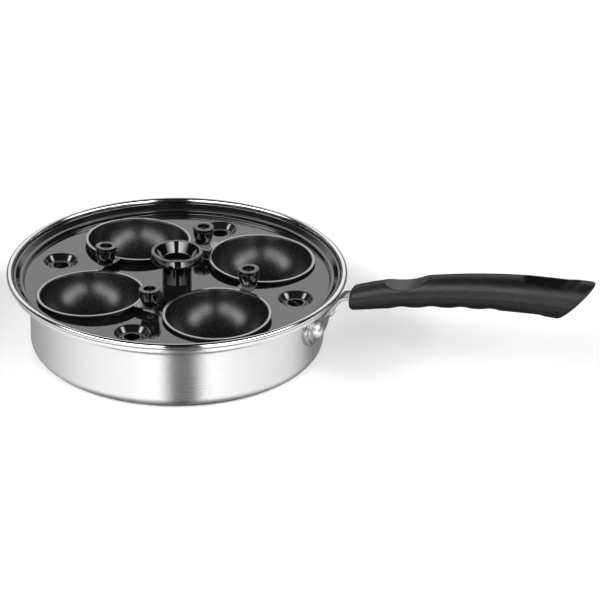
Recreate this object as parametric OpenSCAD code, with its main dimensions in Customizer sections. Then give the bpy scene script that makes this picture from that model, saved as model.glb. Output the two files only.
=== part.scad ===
// Egg poacher pan: an aluminium pan with a rolled rim, a lift-out tray, four loose cups and a moulded handle.
// Millimetres. The origin is the centre of the base, +Z is up and the handle points along +X.

/* [Pan] */
// Outside diameter of the rolled rim
rim_d = 220; // [214:1:228]
// Outside diameter of the straight wall
wall_d = 190.4; // [184:0.2:192]
// Height of the pan to the top of its rim
pan_h = 53.5; // [50:0.5:64]
// Thickness of the wall
wall_t = 1.3; // [1:0.1:1.6]
// Thickness of the base
base_t = 3; // [2:0.1:5]
// Outside radius between base and wall
base_corner_r = 8; // [5:0.5:12]
// Radius of the rolled bead at the rim
bead_r = 2; // [1.8:0.1:2.2]
// Height of the flared shoulder, from its foot to the middle of the bead
shoulder_h = 13.3; // [13:0.1:15]
// Slope of the flared shoulder above level, in degrees
shoulder_slope = 26.5; // [22:0.5:28]

/* [Tray] */
// Thickness of the tray's sheet
tray_t = 0.9; // [0.6:0.1:1.2]
// Radius of the tray's flat floor
floor_r = 98.2; // [97:0.2:98.6]
// Depth of the tray's floor below the middle of the bead
tray_drop = 6; // [5:0.1:6.2]
// Height of the step round the floor
step_h = 2.9; // [2.4:0.1:3.2]
// Width of the level shelf on the step
shelf_w = 1.6; // [1:0.1:2]
// Radius at which the steam vents stand
vent_ring_r = 81; // [79:0.5:83]
// Radius of a vent's dimple at the floor
vent_r = 11.3; // [10:0.1:12]
// Radius of a vent's hole
vent_hole_r = 5.2; // [4.4:0.1:5.6]
// Depth of a vent's dimple
vent_depth = 3.4; // [2.4:0.1:4]
// Turn of the tray in the pan, in degrees
tray_turn = -5; // [-45:1:45]

/* [Cups] */
// Radius at which the cups stand
cup_ring_r = 60.9; // [59:0.1:61.4]
// Outside radius of a cup's lip
lip_r = 34.9; // [34.2:0.1:35.2]
// Width of the level lip round a cup
lip_w = 2.4; // [2:0.1:3]
// Depth of a cup, from the lip to the foot
cup_depth = 25.5; // [22:0.5:30]
// Radius of the flat foot of a cup
foot_r = 10; // [6:0.5:14]
// Thickness of a cup's sheet
cup_t = 1; // [0.8:0.1:1.2]
// Height of the lip above the tray's floor
cup_rise = 3.1; // [2.8:0.1:3.6]
// Tilt of a cup, propped up at its knob, in degrees
cup_tilt = 2.2; // [0:0.1:2.4]
// Direction of the knob as seen from the cup's middle, from straight outwards, in degrees
knob_bearing = 127; // [122:1:132]
// Distance from the cup's middle to its knob
knob_reach = 43.5; // [42.5:0.1:44.5]
// Width of the tab that carries the knob
tab_w = 11; // [10:0.5:12]

/* [Cup knobs] */
// Height of a cup's knob
knob_h = 11.5; // [10:0.5:16]
// Largest radius of a cup's knob
knob_r = 7.1; // [6.6:0.1:7.4]
// Radius of a cup's knob where it stands on the tab
knob_foot_r = 4.6; // [4.2:0.1:5]
// Radius of the recess in the top of a cup's knob
knob_recess_r = 3.9; // [3.6:0.1:4.6]
// Depth of the recess in the top of a cup's knob
knob_recess_depth = 3; // [2:0.1:3.6]

/* [Tray knob] */
// Height of the tray's knob
pull_h = 20.6; // [18:0.2:30]
// Largest radius of the tray's knob
pull_r = 17.6; // [15.6:0.1:18]
// Radius of the stem of the tray's knob
pull_stem_r = 9.7; // [8.6:0.1:10.4]
// Height of the side of the tray knob's head
pull_band_h = 5.2; // [4:0.2:6]
// Radius of the dish in the head, at its floor
dish_floor_r = 10.7; // [9:0.1:11]
// Depth of the dish in the head
dish_depth = 6.8; // [5:0.1:7.2]

/* [Handle] */
// Distance from the pan's axis to the near end of the handle
handle_x = 117.5; // [117:0.5:124]
// Length of the handle along its middle
handle_l = 142.6; // [130:0.2:170]
// Height of the near end's middle below the top of the rim
handle_drop = 6.1; // [5.6:0.1:7]
// Rise of the handle from its near end to its tail
handle_rise = 16.7; // [13:0.1:20]
// Half width of the handle at its near end
handle_a0 = 9.6; // [9:0.1:10.5]
// Half width of the handle at its tail
handle_a1 = 12.8; // [12:0.1:14]
// Half height of the handle at its near end
handle_b0 = 7.3; // [7:0.1:8]
// Half height of the handle at its tail
handle_b1 = 13.1; // [12:0.1:14]
// Slant of the tail, as length over height
tail_slant = 0.91; // [0.7:0.01:1]
// Depth of the finger grooves
groove_depth = 1.1; // [0.3:0.1:1.6]
// Depth of the thumb rest
thumb_depth = 1.8; // [0.6:0.1:2.2]

/* [Bracket] */
// Thickness of the plate that is riveted to the wall
plate_t = 3.6; // [3:0.1:4]
// Length of the plate
plate_l = 55; // [50:0.5:60]
// Height of the plate
plate_h = 20; // [16:0.5:21]
// Height of the rivets below the top of the rim
rivet_drop = 24.3; // [23.5:0.1:26]
// Distance between the two rivets
rivet_gap = 32.4; // [28:0.2:35]
// Radius of a rivet's shank
rivet_shank_r = 2.5; // [2:0.1:3]
// Radius of a rivet's domed head
rivet_head_r = 5.6; // [5:0.1:6]
// Height of a rivet's domed head
rivet_head_h = 4; // [2.6:0.1:4.4]
// Width of the strap that runs from the plate into the handle
strap_w = 12; // [9:0.5:13]
// Thickness of the strap
strap_t = 2; // [1.6:0.1:2.4]
// Distance that the strap reaches into the handle
tang_l = 36; // [30:1:40]
// Distance from the near end of the handle to its screw
screw_reach = 16; // [12:1:24]

/* [Fasteners] */
// Radius of the screws that hold the knobs and the handle
screw_r = 1.8; // [1.5:0.1:2]
// Radius of the heads of those screws
screw_head_r = 3.3; // [3:0.1:3.5]
// Height of the heads of those screws
screw_head_h = 2.4; // [2:0.1:2.4]

/* [Hidden] */

// Clearance of a screw or rivet in its hole
hole_fit = 0.1;
// Clearance between pieces that lift apart
lift_fit = 0.3;
// Overlap that joins the shapes of one solid
weld = 0.05;
// Extra length of a shape that cuts through another
over = 1;
small_fn = 48;
round_fn = 96;
large_fn = 180;

wall_r = wall_d / 2;
wall_in_r = wall_r - wall_t;
rim_r = rim_d / 2;
bead_x = rim_r - bead_r;
bead_z = pan_h - bead_r;

// Points along a circular arc from angle a0 to angle a1
function arc(x, z, r, a0, a1, n = 8) =
  [for (i = [0:n]) let (a = a0 + (a1 - a0) * i / n) [x + r * cos(a), z + r * sin(a)]];
// Unit normal on the right-hand side of the line from p to q
function right_normal(p, q) = let (d = q - p, l = norm(d)) [d[1] / l, -d[0] / l];
// Corner i of a line, moved by t to the right-hand side
function moved(line, i, t) = let (
  last = len(line) - 1,
  n0 = right_normal(line[max(i - 1, 0)], line[max(i, 1)]),
  n1 = right_normal(line[min(i, last - 1)], line[min(i + 1, last)])
) line[i] + (n0 + n1) * t / (1 + n0 * n1);
// Outline of a bent sheet of thickness t on the right-hand side of a line
function sheet(line, t) = concat(line, [for (i = [len(line) - 1:-1:0]) moved(line, i, t)]);
function mix(a, b, k) = a + (b - a) * k;

/* The flared shoulder is a cone that leaves the wall through a bend and ends in the bead. */
bend_r = 4;
bend_x = wall_r + bend_r;
bend_z = bead_z - shoulder_h;
cone_turn = 90 - shoulder_slope;
cone_x = bend_x - bend_r * cos(cone_turn);
cone_z = bend_z + bend_r * sin(cone_turn);
neck_in_x = bead_x - bead_r * 0.85;
neck_out_x = bead_x - bead_r * 0.15;
neck_z = bead_z - bead_r / 2;
function cone_out_z(r) = cone_z + (r - cone_x) * tan(shoulder_slope);
function cone_in_z(r) = cone_out_z(r) + wall_t / cos(shoulder_slope);

inner_corner_r = base_corner_r - wall_t;
pan_outline = concat(
  [[0, 0]],
  arc(wall_r - base_corner_r, base_corner_r, base_corner_r, -90, 0),
  arc(bend_x, bend_z, bend_r, 180, 180 - cone_turn),
  [[neck_out_x, cone_out_z(neck_out_x)], [neck_out_x, neck_z], [neck_in_x, neck_z],
    [neck_in_x, cone_in_z(neck_in_x)]],
  arc(bend_x, bend_z, bend_r + wall_t, 180 - cone_turn, 180),
  arc(wall_in_r - inner_corner_r, base_t + inner_corner_r, inner_corner_r, 0, -90),
  [[0, base_t]]);

// Turned grooves under the base
base_groove_w = 1.2;
base_groove_depth = 0.4;
base_groove_r0 = 18;
base_groove_pitch = 14;
base_groove_end = wall_r - base_corner_r - 6;

module pan_body() {
  color("silver") difference() {
    union() {
      rotate_extrude($fn = large_fn) polygon(pan_outline);
      translate([0, 0, bead_z]) rotate_extrude($fn = large_fn) translate([bead_x, 0])
        circle(r = bead_r, $fn = small_fn);
    }
    for (r = [base_groove_r0:base_groove_pitch:base_groove_end])
      translate([0, 0, -over]) difference() {
        cylinder(r = r + base_groove_w, h = over + base_groove_depth, $fn = round_fn);
        cylinder(r = r, h = over + base_groove_depth, $fn = round_fn);
      }
    rivet_holes();
  }
}

/* Rivets and plate: both rivets point straight out of the wall, at equal angles from the handle. */
plate_r = wall_r + plate_t;
rivet_z = pan_h - rivet_drop;
rivet_angle = asin(rivet_gap / 2 / plate_r);
// Puts a shape at each rivet, with its Z axis along the rivet and its origin on the wall's outer face
module at_rivets() {
  for (side = [-1, 1])
    rotate([0, 0, side * rivet_angle]) translate([wall_r, 0, rivet_z]) rotate([0, 90, 0]) children();
}

module rivet_holes() {
  at_rivets() translate([0, 0, -wall_t - over * 2])
    cylinder(r = rivet_shank_r + hole_fit, h = wall_t + plate_t + over * 4, $fn = small_fn);
}

// Inner head of a rivet, which stands off the curved wall by its sagitta
inner_head_r = rivet_shank_r * 1.8;
inner_head_h = 1.2;
inner_head_z = -wall_t - (wall_in_r - sqrt(pow(wall_in_r, 2) - pow(inner_head_r, 2))) - weld;
rivet_dome_r = (pow(rivet_head_r, 2) + pow(rivet_head_h, 2)) / (2 * rivet_head_h);

module bracket_rivets() {
  color("gainsboro") at_rivets() {
    translate([0, 0, inner_head_z - inner_head_h])
      cylinder(r = inner_head_r, h = inner_head_h, $fn = small_fn);
    translate([0, 0, inner_head_z - weld])
      cylinder(r = rivet_shank_r, h = plate_t - inner_head_z + over, $fn = small_fn);
    translate([0, 0, plate_t]) intersection() {
      translate([0, 0, rivet_head_h - rivet_dome_r]) sphere(r = rivet_dome_r, $fn = round_fn);
      cylinder(r = rivet_head_r + over, h = rivet_head_h + over, $fn = small_fn);
    }
  }
}

/* Strap: it leaves the plate upwards, turns outwards under the bead and runs into the handle. */
tang_slope = 12;
handle_z = pan_h - handle_drop;
// Height of the strap's upper face where it enters the handle
tang_z = handle_z + 2.9;
knee_x = bead_x + 1.9;
function tang_top_z(x) = tang_z + (x - handle_x) * tan(tang_slope);
strap_start_x = wall_r;
// Height of the strap's foot above the middle of the plate
strap_foot_rise = 0.67;
strap_foot_z = rivet_z + strap_foot_rise;
strap_slope = (tang_top_z(knee_x) - strap_foot_z) / (knee_x - strap_start_x);
function rise_z(x) = strap_foot_z + (x - strap_start_x) * strap_slope;
knee_bend = 1;
tang_end_x = handle_x + tang_l;
strap_line = [
  [strap_start_x, rise_z(strap_start_x)],
  [knee_x - knee_bend, rise_z(knee_x - knee_bend)],
  [knee_x + knee_bend, tang_top_z(knee_x + knee_bend)],
  [tang_end_x, tang_top_z(tang_end_x)]];

module plate_outline() {
  square([plate_l - plate_h, plate_h], center = true);
  for (side = [-1, 1]) translate([side * (plate_l - plate_h) / 2, 0]) circle(d = plate_h, $fn = round_fn);
}

module handle_bracket() {
  color("darkgray") difference() {
    union() {
      intersection() {
        difference() {
          cylinder(r = plate_r, h = pan_h, $fn = large_fn);
          translate([0, 0, -over]) cylinder(r = wall_r, h = pan_h + 2 * over, $fn = large_fn);
        }
        translate([0, 0, rivet_z]) rotate([90, 0, 90]) linear_extrude(height = rim_r) plate_outline();
      }
      difference() {
        rotate([90, 0, 0]) linear_extrude(height = strap_w, center = true)
          polygon(sheet(strap_line, strap_t));
        translate([0, 0, -over]) cylinder(r = wall_r + plate_t / 2, h = pan_h, $fn = large_fn);
      }
    }
    rivet_holes();
    translate([screw_x, 0, 0]) cylinder(r = screw_r + hole_fit, h = 2 * pan_h, $fn = small_fn);
  }
}

/* Handle: rings along a curved middle line. Each ring leans, so that the tail ends on a slant. */
rings = 48;
ring_points = 32;
end_round = 0.03;
end_share = 0.82;
groove_first = 0.223;
groove_pitch = 0.143;
grooves = 4;
groove_half = 0.062;
// Height of the handle's middle at share s of its length
function handle_mid(s) = handle_z + handle_rise * (2.385 * s - 1.385 * s * s);
function handle_a(s) = mix(handle_a0, handle_a1, pow(sin(90 * s), 1.6));
function handle_b(s) = mix(handle_b0, handle_b1, pow(s, 0.53));
function groove_at(i) = groove_first + i * groove_pitch;
function groove(s) = groove_depth * max([for (i = [0:grooves - 1])
  abs(s - groove_at(i)) < groove_half ? pow(cos(90 * (s - groove_at(i)) / groove_half), 2) : 0]);
// Share of its full size that a ring has near the rounded ends
function end_size(s) = let (k = min(1, s / end_round, (1 - s) / end_round))
  end_share + (1 - end_share) * sqrt(1 - pow(1 - k, 2));
function lean(s) = tail_slant * pow(s, 3);
function ring_point(s, a) = let (
  up = sin(a) * handle_b(s) * end_size(s),
  z = up < 0 ? up - groove(s) * sin(a) : up
) [handle_x + s * handle_l + lean(s) * z, cos(a) * handle_a(s) * end_size(s), handle_mid(s) + z];

module handle_body() {
  points = [for (i = [0:rings]) for (j = [0:ring_points - 1]) ring_point(i / rings, 360 * j / ring_points)];
  sides = [for (i = [0:rings - 1]) for (j = [0:ring_points - 1]) let (
      k = (j + 1) % ring_points, p = i * ring_points, q = p + ring_points)
    each [[p + j, q + j, q + k], [p + j, q + k, p + k]]];
  near = [for (j = [1:ring_points - 2]) [0, j, j + 1]];
  far = [for (j = [1:ring_points - 2]) let (p = rings * ring_points) [p, p + j + 1, p + j]];
  polyhedron(points = points, faces = concat(near, sides, far), convexity = 6);
}

// Hanging slot through the tail: wider towards its far end, and leaning with the tail
slot_s0 = 0.745;
slot_s1 = 0.891;
slot_r0 = 6.2;
slot_r1 = 8;
slot_disc_h = 0.2;
slot_half_h = handle_b1 + 5 * over;
slot_lean = tail_slant * 0.9;
// Screw that holds the handle on the strap, driven from below
screw_x = handle_x + screw_reach;
screw_s = (screw_x - handle_x) / handle_l;
handle_floor_z = handle_mid(screw_s) - handle_b(screw_s);
head_sink = 1;
// Length below the handle from which its screw hole is cut
cut_l = 10 * over;
handle_head_z = handle_floor_z + head_sink;
thumb_s = 0.25;
thumb_round_r = 70;
thumb_turn = 7;
thumb_cut_w = 4 * handle_a1;
pocket_fit = 0.15;
pocket_x0 = handle_x - 5 * over;
pocket_x1 = tang_end_x + over;
function pocket_top_z(x) = tang_top_z(x) + pocket_fit;
function pocket_foot_z(x) = tang_top_z(x) - strap_t / cos(tang_slope) - pocket_fit;

// One end circle of the slot on the level z above the handle's middle at its tail
module slot_disc(s, r, z) {
  translate([handle_x + s * handle_l + slot_lean * z, 0, handle_mid(s) + z])
    cylinder(r = r, h = slot_disc_h, $fn = 32);
}

module handle_grip() {
  color("#1c1c1d") difference() {
    handle_body();
    // Pocket for the strap
    rotate([90, 0, 0]) linear_extrude(height = strap_w + 2 * pocket_fit, center = true)
      polygon([
        [pocket_x0, pocket_top_z(pocket_x0)],
        [pocket_x1, pocket_top_z(pocket_x1)],
        [pocket_x1, pocket_foot_z(pocket_x1)],
        [pocket_x0, pocket_foot_z(pocket_x0)]]);
    // Hanging slot
    hull() for (z = [-slot_half_h, slot_half_h]) {
      slot_disc(slot_s0, slot_r0, z);
      slot_disc(slot_s1, slot_r1, z);
    }
    // Thumb rest
    translate([handle_x + thumb_s * handle_l, 0, handle_mid(thumb_s) + handle_b(thumb_s) - thumb_depth])
      rotate([0, -thumb_turn, 0]) translate([0, 0, thumb_round_r]) rotate([90, 0, 0])
        cylinder(r = thumb_round_r, h = thumb_cut_w, center = true, $fn = large_fn);
    // Screw hole, opened out for the head
    translate([screw_x, 0, handle_floor_z - cut_l])
      cylinder(
        r = screw_r + hole_fit, h = cut_l + tang_top_z(screw_x) - handle_floor_z + 2 * over, $fn = small_fn);
    translate([screw_x, 0, handle_floor_z - cut_l])
      cylinder(r = screw_head_r + hole_fit, h = cut_l + head_sink + screw_head_h + hole_fit, $fn = small_fn);
  }
}

// Cross recess in a flat screw head whose outer face is at the origin and looks down
cross_w = 0.9;
cross_depth = 1.2;
module cross_recess() {
  for (turn = [0, 90]) rotate([0, 0, turn]) translate([0, 0, cross_depth / 2 - over / 2])
    cube([1.3 * screw_head_r, cross_w, cross_depth + over], center = true);
}

module handle_screw() {
  color("dimgray") translate([screw_x, 0, handle_head_z]) difference() {
    union() {
      cylinder(r = screw_head_r, h = screw_head_h, $fn = small_fn);
      cylinder(r = screw_r, h = tang_top_z(screw_x) - handle_head_z + over, $fn = small_fn);
    }
    cross_recess();
  }
}

/* Tray: a pressed sheet whose hem stands on the pan's shoulder. */
floor_z = bead_z - tray_drop;
step_bend_r = 0.8;
shelf_z = floor_z + step_h;
riser_x = floor_r + step_bend_r;
shelf_end_x = riser_x + step_bend_r + shelf_w;
rim_gap = 0.4;
hem_r = neck_in_x - rim_gap - 0.3;
hem_bend_r = 1;
hem_top_z = bead_z - 0.6;
hem_foot_z = cone_in_z(hem_r) + lift_fit;
tray_line = concat(
  [[0, floor_z]],
  arc(floor_r, floor_z + step_bend_r, step_bend_r, -90, 0, 5),
  arc(riser_x + step_bend_r, shelf_z - step_bend_r, step_bend_r, 180, 90, 5),
  [[shelf_end_x, shelf_z]],
  arc(hem_r - hem_bend_r, hem_top_z - hem_bend_r, hem_bend_r, 130, 0, 6),
  [[hem_r, hem_foot_z]]);

function cup_angle(i) = tray_turn + 45 + 90 * (i - 1);
function vent_angle(i) = tray_turn + 90 * (i - 1);

// Dimple of a vent: down the slope from the floor, then level to the hole
dimple_bend_r = 1.6;
dimple_turn = 48;
dimple_drop = vent_depth - 2 * dimple_bend_r * (1 - cos(dimple_turn));
dimple_ring_x = vent_r - 2 * dimple_bend_r * sin(dimple_turn) - dimple_drop / tan(dimple_turn);
dimple_line = concat(
  [[vent_r + weld, 0]],
  arc(vent_r, -dimple_bend_r, dimple_bend_r, 90, 90 + dimple_turn, 4),
  arc(dimple_ring_x, dimple_bend_r - vent_depth, dimple_bend_r, dimple_turn - 90, -90, 4),
  [[min(vent_hole_r, dimple_ring_x - weld), -vent_depth]]);

module at_vents() {
  for (i = [1:4]) rotate([0, 0, vent_angle(i)]) translate([vent_ring_r, 0, floor_z]) children();
}

module tray() {
  color("#2b2b2d") difference() {
    union() {
      difference() {
        rotate_extrude($fn = large_fn) polygon(sheet(tray_line, tray_t));
        at_vents() translate([0, 0, -tray_t - over])
          cylinder(r = vent_r, h = tray_t + 2 * over, $fn = round_fn);
      }
      at_vents() rotate_extrude($fn = round_fn)
        polygon(concat(dimple_line, [for (i = [len(dimple_line) - 1:-1:0]) moved(dimple_line, i, -tray_t)]));
    }
    for (i = [1:4])
      rotate([0, 0, cup_angle(i)]) translate([cup_ring_r, 0, floor_z - tray_t - over])
        cylinder(r = cup_hole_r, h = tray_t + 2 * over, $fn = large_fn);
    translate([0, 0, floor_z - tray_t - over])
      cylinder(r = screw_r + hole_fit, h = tray_t + 2 * over, $fn = small_fn);
  }
}

/* Tray knob: a stem that flares into a dished head. */
pull_top_z = floor_z + pull_h;
pull_edge = 0.6;
pull_band_taper = 1;
pull_rim = pull_band_taper + 2.2;
pull_neck_h = 3.4;
pull_foot = 0.5;
pull_profile = [
  [0, floor_z],
  [pull_stem_r + pull_foot, floor_z],
  [pull_stem_r, floor_z + 2 * pull_foot],
  [pull_stem_r, pull_top_z - pull_band_h - pull_neck_h],
  [dish_floor_r + 3 * pull_edge, pull_top_z - pull_band_h - pull_edge * 2],
  [pull_r - 2 * pull_edge, pull_top_z - pull_band_h - pull_edge],
  [pull_r, pull_top_z - pull_band_h + pull_edge],
  [pull_r - pull_band_taper, pull_top_z - pull_edge],
  [pull_r - pull_band_taper - pull_edge, pull_top_z],
  [pull_r - pull_rim + pull_edge, pull_top_z],
  [pull_r - pull_rim, pull_top_z - pull_edge],
  [dish_floor_r, pull_top_z - dish_depth],
  [0, pull_top_z - dish_depth]];
pull_screw_top = pull_h - dish_depth - 2;

module tray_knob() {
  color("#111112") difference() {
    rotate_extrude($fn = large_fn) polygon(pull_profile);
    translate([0, 0, floor_z - over])
      cylinder(r = screw_r + hole_fit, h = over + pull_screw_top, $fn = small_fn);
  }
}

washer_r = 6;
washer_t = 0.8;
pull_head_z = floor_z - tray_t - washer_t;

module tray_knob_washer() {
  color("silver") translate([0, 0, pull_head_z]) difference() {
    cylinder(r = washer_r, h = washer_t, $fn = round_fn);
    translate([0, 0, -over]) cylinder(r = screw_r + hole_fit, h = washer_t + 2 * over, $fn = small_fn);
  }
}

module tray_knob_screw() {
  color("silver") translate([0, 0, pull_head_z]) round_screw(tray_t + washer_t + pull_screw_top - over);
}

// Screw with a domed head that hangs from the origin, and a shank of length l that goes up from it
module round_screw(l) {
  dome_r = (pow(screw_head_r, 2) + pow(screw_head_h, 2)) / (2 * screw_head_h);
  difference() {
    union() {
      intersection() {
        translate([0, 0, dome_r - screw_head_h]) sphere(r = dome_r, $fn = round_fn);
        translate([0, 0, -screw_head_h - over])
          cylinder(r = screw_head_r + over, h = screw_head_h + over, $fn = small_fn);
      }
      translate([0, 0, -weld]) cylinder(r = screw_r, h = l + weld, $fn = small_fn);
    }
    translate([0, 0, -screw_head_h]) cross_recess();
  }
}

/* The bowl of a cup is part of a sphere, so it stays in its round hole whichever way the cup tilts. */
mouth_r = lip_r - lip_w + cup_t;
// Height of the sphere's middle above the lip
bowl_z = (pow(mouth_r, 2) - pow(foot_r, 2) - pow(cup_depth, 2)) / (2 * cup_depth);
bowl_r = sqrt(pow(mouth_r, 2) + pow(bowl_z, 2));
cup_hole_r = sqrt(pow(bowl_r, 2) - pow(bowl_z + cup_rise, 2)) + lift_fit;
lip_z = floor_z + cup_rise;
lip_edge = 0.25;
bowl_steps = 24;
foot_angle = -acos(foot_r / bowl_r);

cup_profile = let (
  in_r = bowl_r - cup_t,
  in_floor_z = cup_t - cup_depth,
  in_foot = -asin((bowl_z - in_floor_z) / in_r),
  in_mouth = -asin(bowl_z / in_r)
) concat(
  [[0, -cup_depth]],
  arc(0, bowl_z, bowl_r, foot_angle, -asin((bowl_z + cup_t) / bowl_r), bowl_steps),
  [[lip_r - lip_edge, -cup_t], [lip_r, lip_edge - cup_t], [lip_r, -lip_edge], [lip_r - lip_edge, 0]],
  arc(0, bowl_z, in_r, in_mouth, in_foot, bowl_steps),
  [[0, in_floor_z]]);

// Puts a shape at cup i: the origin is the middle of its lip and X points to its knob.
// The cup leans about the middle of its sphere.
module at_cup(i) {
  rotate([0, 0, cup_angle(i)]) translate([cup_ring_r, 0, lip_z + bowl_z]) rotate([0, 0, knob_bearing])
    rotate([0, -cup_tilt, 0]) translate([0, 0, -bowl_z]) children();
}

module cup(i) {
  color("#1a1a1b") at_cup(i) difference() {
    union() {
      rotate_extrude($fn = large_fn) polygon(cup_profile);
      translate([0, 0, -cup_t]) linear_extrude(height = cup_t - 2 * weld) {
        translate([lip_r - lip_w / 2, -tab_w / 2]) square([knob_reach - lip_r + lip_w / 2, tab_w]);
        translate([knob_reach, 0]) circle(d = tab_w, $fn = round_fn);
      }
    }
    translate([knob_reach, 0, -cup_t - over])
      cylinder(r = screw_r + hole_fit, h = cup_t + 2 * over, $fn = small_fn);
  }
}

knob_edge = 0.5;
knob_cap_h = 2;
knob_neck = 0.6;
knob_screw_depth = knob_h - knob_recess_depth - 2;
knob_profile = [
  [0, 0],
  [knob_foot_r, 0],
  [knob_foot_r, 1],
  [knob_r - knob_neck, knob_h * 0.62],
  [knob_r - knob_neck, knob_h - knob_cap_h - knob_neck],
  [knob_r, knob_h - knob_cap_h],
  [knob_r, knob_h - knob_edge],
  [knob_r - knob_edge, knob_h],
  [knob_recess_r + knob_edge, knob_h],
  [knob_recess_r, knob_h - knob_edge],
  [knob_recess_r - knob_edge, knob_h - knob_recess_depth],
  [0, knob_h - knob_recess_depth]];

module cup_knob(i) {
  color("#111112") at_cup(i) translate([knob_reach, 0, -2 * weld]) difference() {
    rotate_extrude($fn = round_fn) polygon(knob_profile);
    translate([0, 0, -over]) cylinder(r = screw_r + hole_fit, h = over + knob_screw_depth, $fn = small_fn);
  }
}

module cup_screw(i) {
  color("silver") at_cup(i) translate([knob_reach, 0, -cup_t]) round_screw(cup_t + knob_screw_depth - over);
}

pan_body();
handle_bracket();
bracket_rivets();
handle_grip();
handle_screw();
tray();
tray_knob();
tray_knob_screw();
tray_knob_washer();
cup(1);  // cup_1
cup(2);  // cup_2
cup(3);  // cup_3
cup(4);  // cup_4
cup_knob(1);  // cup_knob_1
cup_knob(2);  // cup_knob_2
cup_knob(3);  // cup_knob_3
cup_knob(4);  // cup_knob_4
cup_screw(1);  // cup_screw_1
cup_screw(2);  // cup_screw_2
cup_screw(3);  // cup_screw_3
cup_screw(4);  // cup_screw_4
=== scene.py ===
"""Looks of an egg poacher pan, in metres: its pieces and finishes, the floor, the lamps and the camera."""

import logging
import math
from dataclasses import dataclass
from enum import Enum
from typing import Callable, Iterable, Sequence

import bmesh
import bpy
from mathutils import Matrix, Vector


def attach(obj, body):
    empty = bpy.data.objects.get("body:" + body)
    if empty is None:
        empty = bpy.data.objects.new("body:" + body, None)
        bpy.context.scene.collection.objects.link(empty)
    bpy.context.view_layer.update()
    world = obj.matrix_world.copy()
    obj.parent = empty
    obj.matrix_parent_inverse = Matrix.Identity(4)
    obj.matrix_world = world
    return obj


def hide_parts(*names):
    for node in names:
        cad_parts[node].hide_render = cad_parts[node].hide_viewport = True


LOG = logging.getLogger("egg_poacher_pan")

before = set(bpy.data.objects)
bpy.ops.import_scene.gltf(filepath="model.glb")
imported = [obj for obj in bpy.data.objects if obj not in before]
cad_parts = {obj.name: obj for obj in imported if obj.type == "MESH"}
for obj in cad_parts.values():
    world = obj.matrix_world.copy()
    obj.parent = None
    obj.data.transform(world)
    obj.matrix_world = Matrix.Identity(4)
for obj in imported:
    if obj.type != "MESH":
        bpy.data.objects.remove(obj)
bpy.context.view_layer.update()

Point = tuple[float, float]
Corner = tuple[float, float, float]
Profile = tuple[Point, ...]
UP = Vector((0.0, 0.0, 1.0))
TINY = 1e-6
CUPS = 4
QUARTER = 360 / CUPS


class Body(Enum):
    """The bodies that are not cups."""

    PAN = "pan"
    TRAY = "tray"


class Slot(Enum):
    """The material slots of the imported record."""

    ALUMINIUM = "pan_aluminium"
    BRACKET = "bracket_steel"
    RIVET = "rivet_aluminium"
    GRIP = "grip_plastic"
    SCREW = "screw_steel"
    TRAY = "tray_coating"
    CUP = "cup_coating"
    KNOB = "knob_plastic"


def arc(centre: Point, radius: float, start: float, end: float, steps: int) -> list[Point]:
    """Points along a circular arc.

    Args:
        centre: The middle of the arc.
        radius: Its radius.
        start: Its first angle, in degrees.
        end: Its last angle, in degrees.
        steps: How many straight pieces it has.

    Returns:
        steps + 1 points.
    """
    turns = (math.radians(start + (end - start) * i / steps) for i in range(steps + 1))
    return [(centre[0] + radius * math.cos(t), centre[1] + radius * math.sin(t)) for t in turns]


def rounded(corners: Sequence[Corner], steps: int = 6) -> list[Point]:
    """A line with rounded corners.

    Args:
        corners: Radius, height and rounding of each corner. The two ends stay sharp.
        steps: How many straight pieces each rounding has.

    Returns:
        The points of the line.
    """
    line = []
    for i, (x, z, bend) in enumerate(corners):
        here = Vector((x, z))
        if bend <= 0 or i in (0, len(corners) - 1):
            line.append((x, z))
            continue
        back = Vector(corners[i - 1][:2]) - here
        ahead = Vector(corners[i + 1][:2]) - here
        half = back.angle(ahead) / 2
        reach = min(bend / math.tan(half), 0.49 * back.length, 0.49 * ahead.length)
        radius = reach * math.tan(half)
        inwards = (back.normalized() + ahead.normalized()).normalized()
        middle = here + inwards * (radius / math.sin(half))
        first = here + back.normalized() * reach - middle
        last = here + ahead.normalized() * reach - middle
        sweep = first.angle(last)
        for k in range(steps + 1):
            t = k / steps
            spoke = (first * math.sin((1 - t) * sweep) + last * math.sin(t * sweep)) / math.sin(sweep)
            line.append(tuple(middle + spoke))
    return line


def spin(bm: bmesh.types.BMesh, line: Sequence[Point], steps: int, foot: Vector = Vector()) -> None:
    """Turns a line of (radius, height) points once round an upright axis.

    Args:
        bm: The mesh that gets the turned surface.
        line: The points of the line.
        steps: How many pieces the turn has.
        foot: A point on the axis, from which the heights count.
    """
    verts = [bm.verts.new(foot + Vector((r, 0, z))) for r, z in line]
    edges = [bm.edges.new(pair) for pair in zip(verts, verts[1:])]
    bmesh.ops.spin(
        bm, geom=verts + edges, cent=foot, axis=UP, angle=2 * math.pi, steps=steps, use_merge=True
    )
    bmesh.ops.remove_doubles(bm, verts=bm.verts, dist=TINY)


def turned(line: Sequence[Point], steps: int) -> bmesh.types.BMesh:
    """A closed solid turned from a line that starts and ends on the axis.

    Args:
        line: The points of the line.
        steps: How many pieces the turn has.

    Returns:
        The solid.
    """
    bm = bmesh.new()
    spin(bm, line, steps)
    bmesh.ops.recalc_face_normals(bm, faces=bm.faces)
    return bm


def only(kind: type, parts: Iterable) -> list:
    """The vertices, edges or faces in a mixed list."""
    return [part for part in parts if isinstance(part, kind)]


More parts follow.
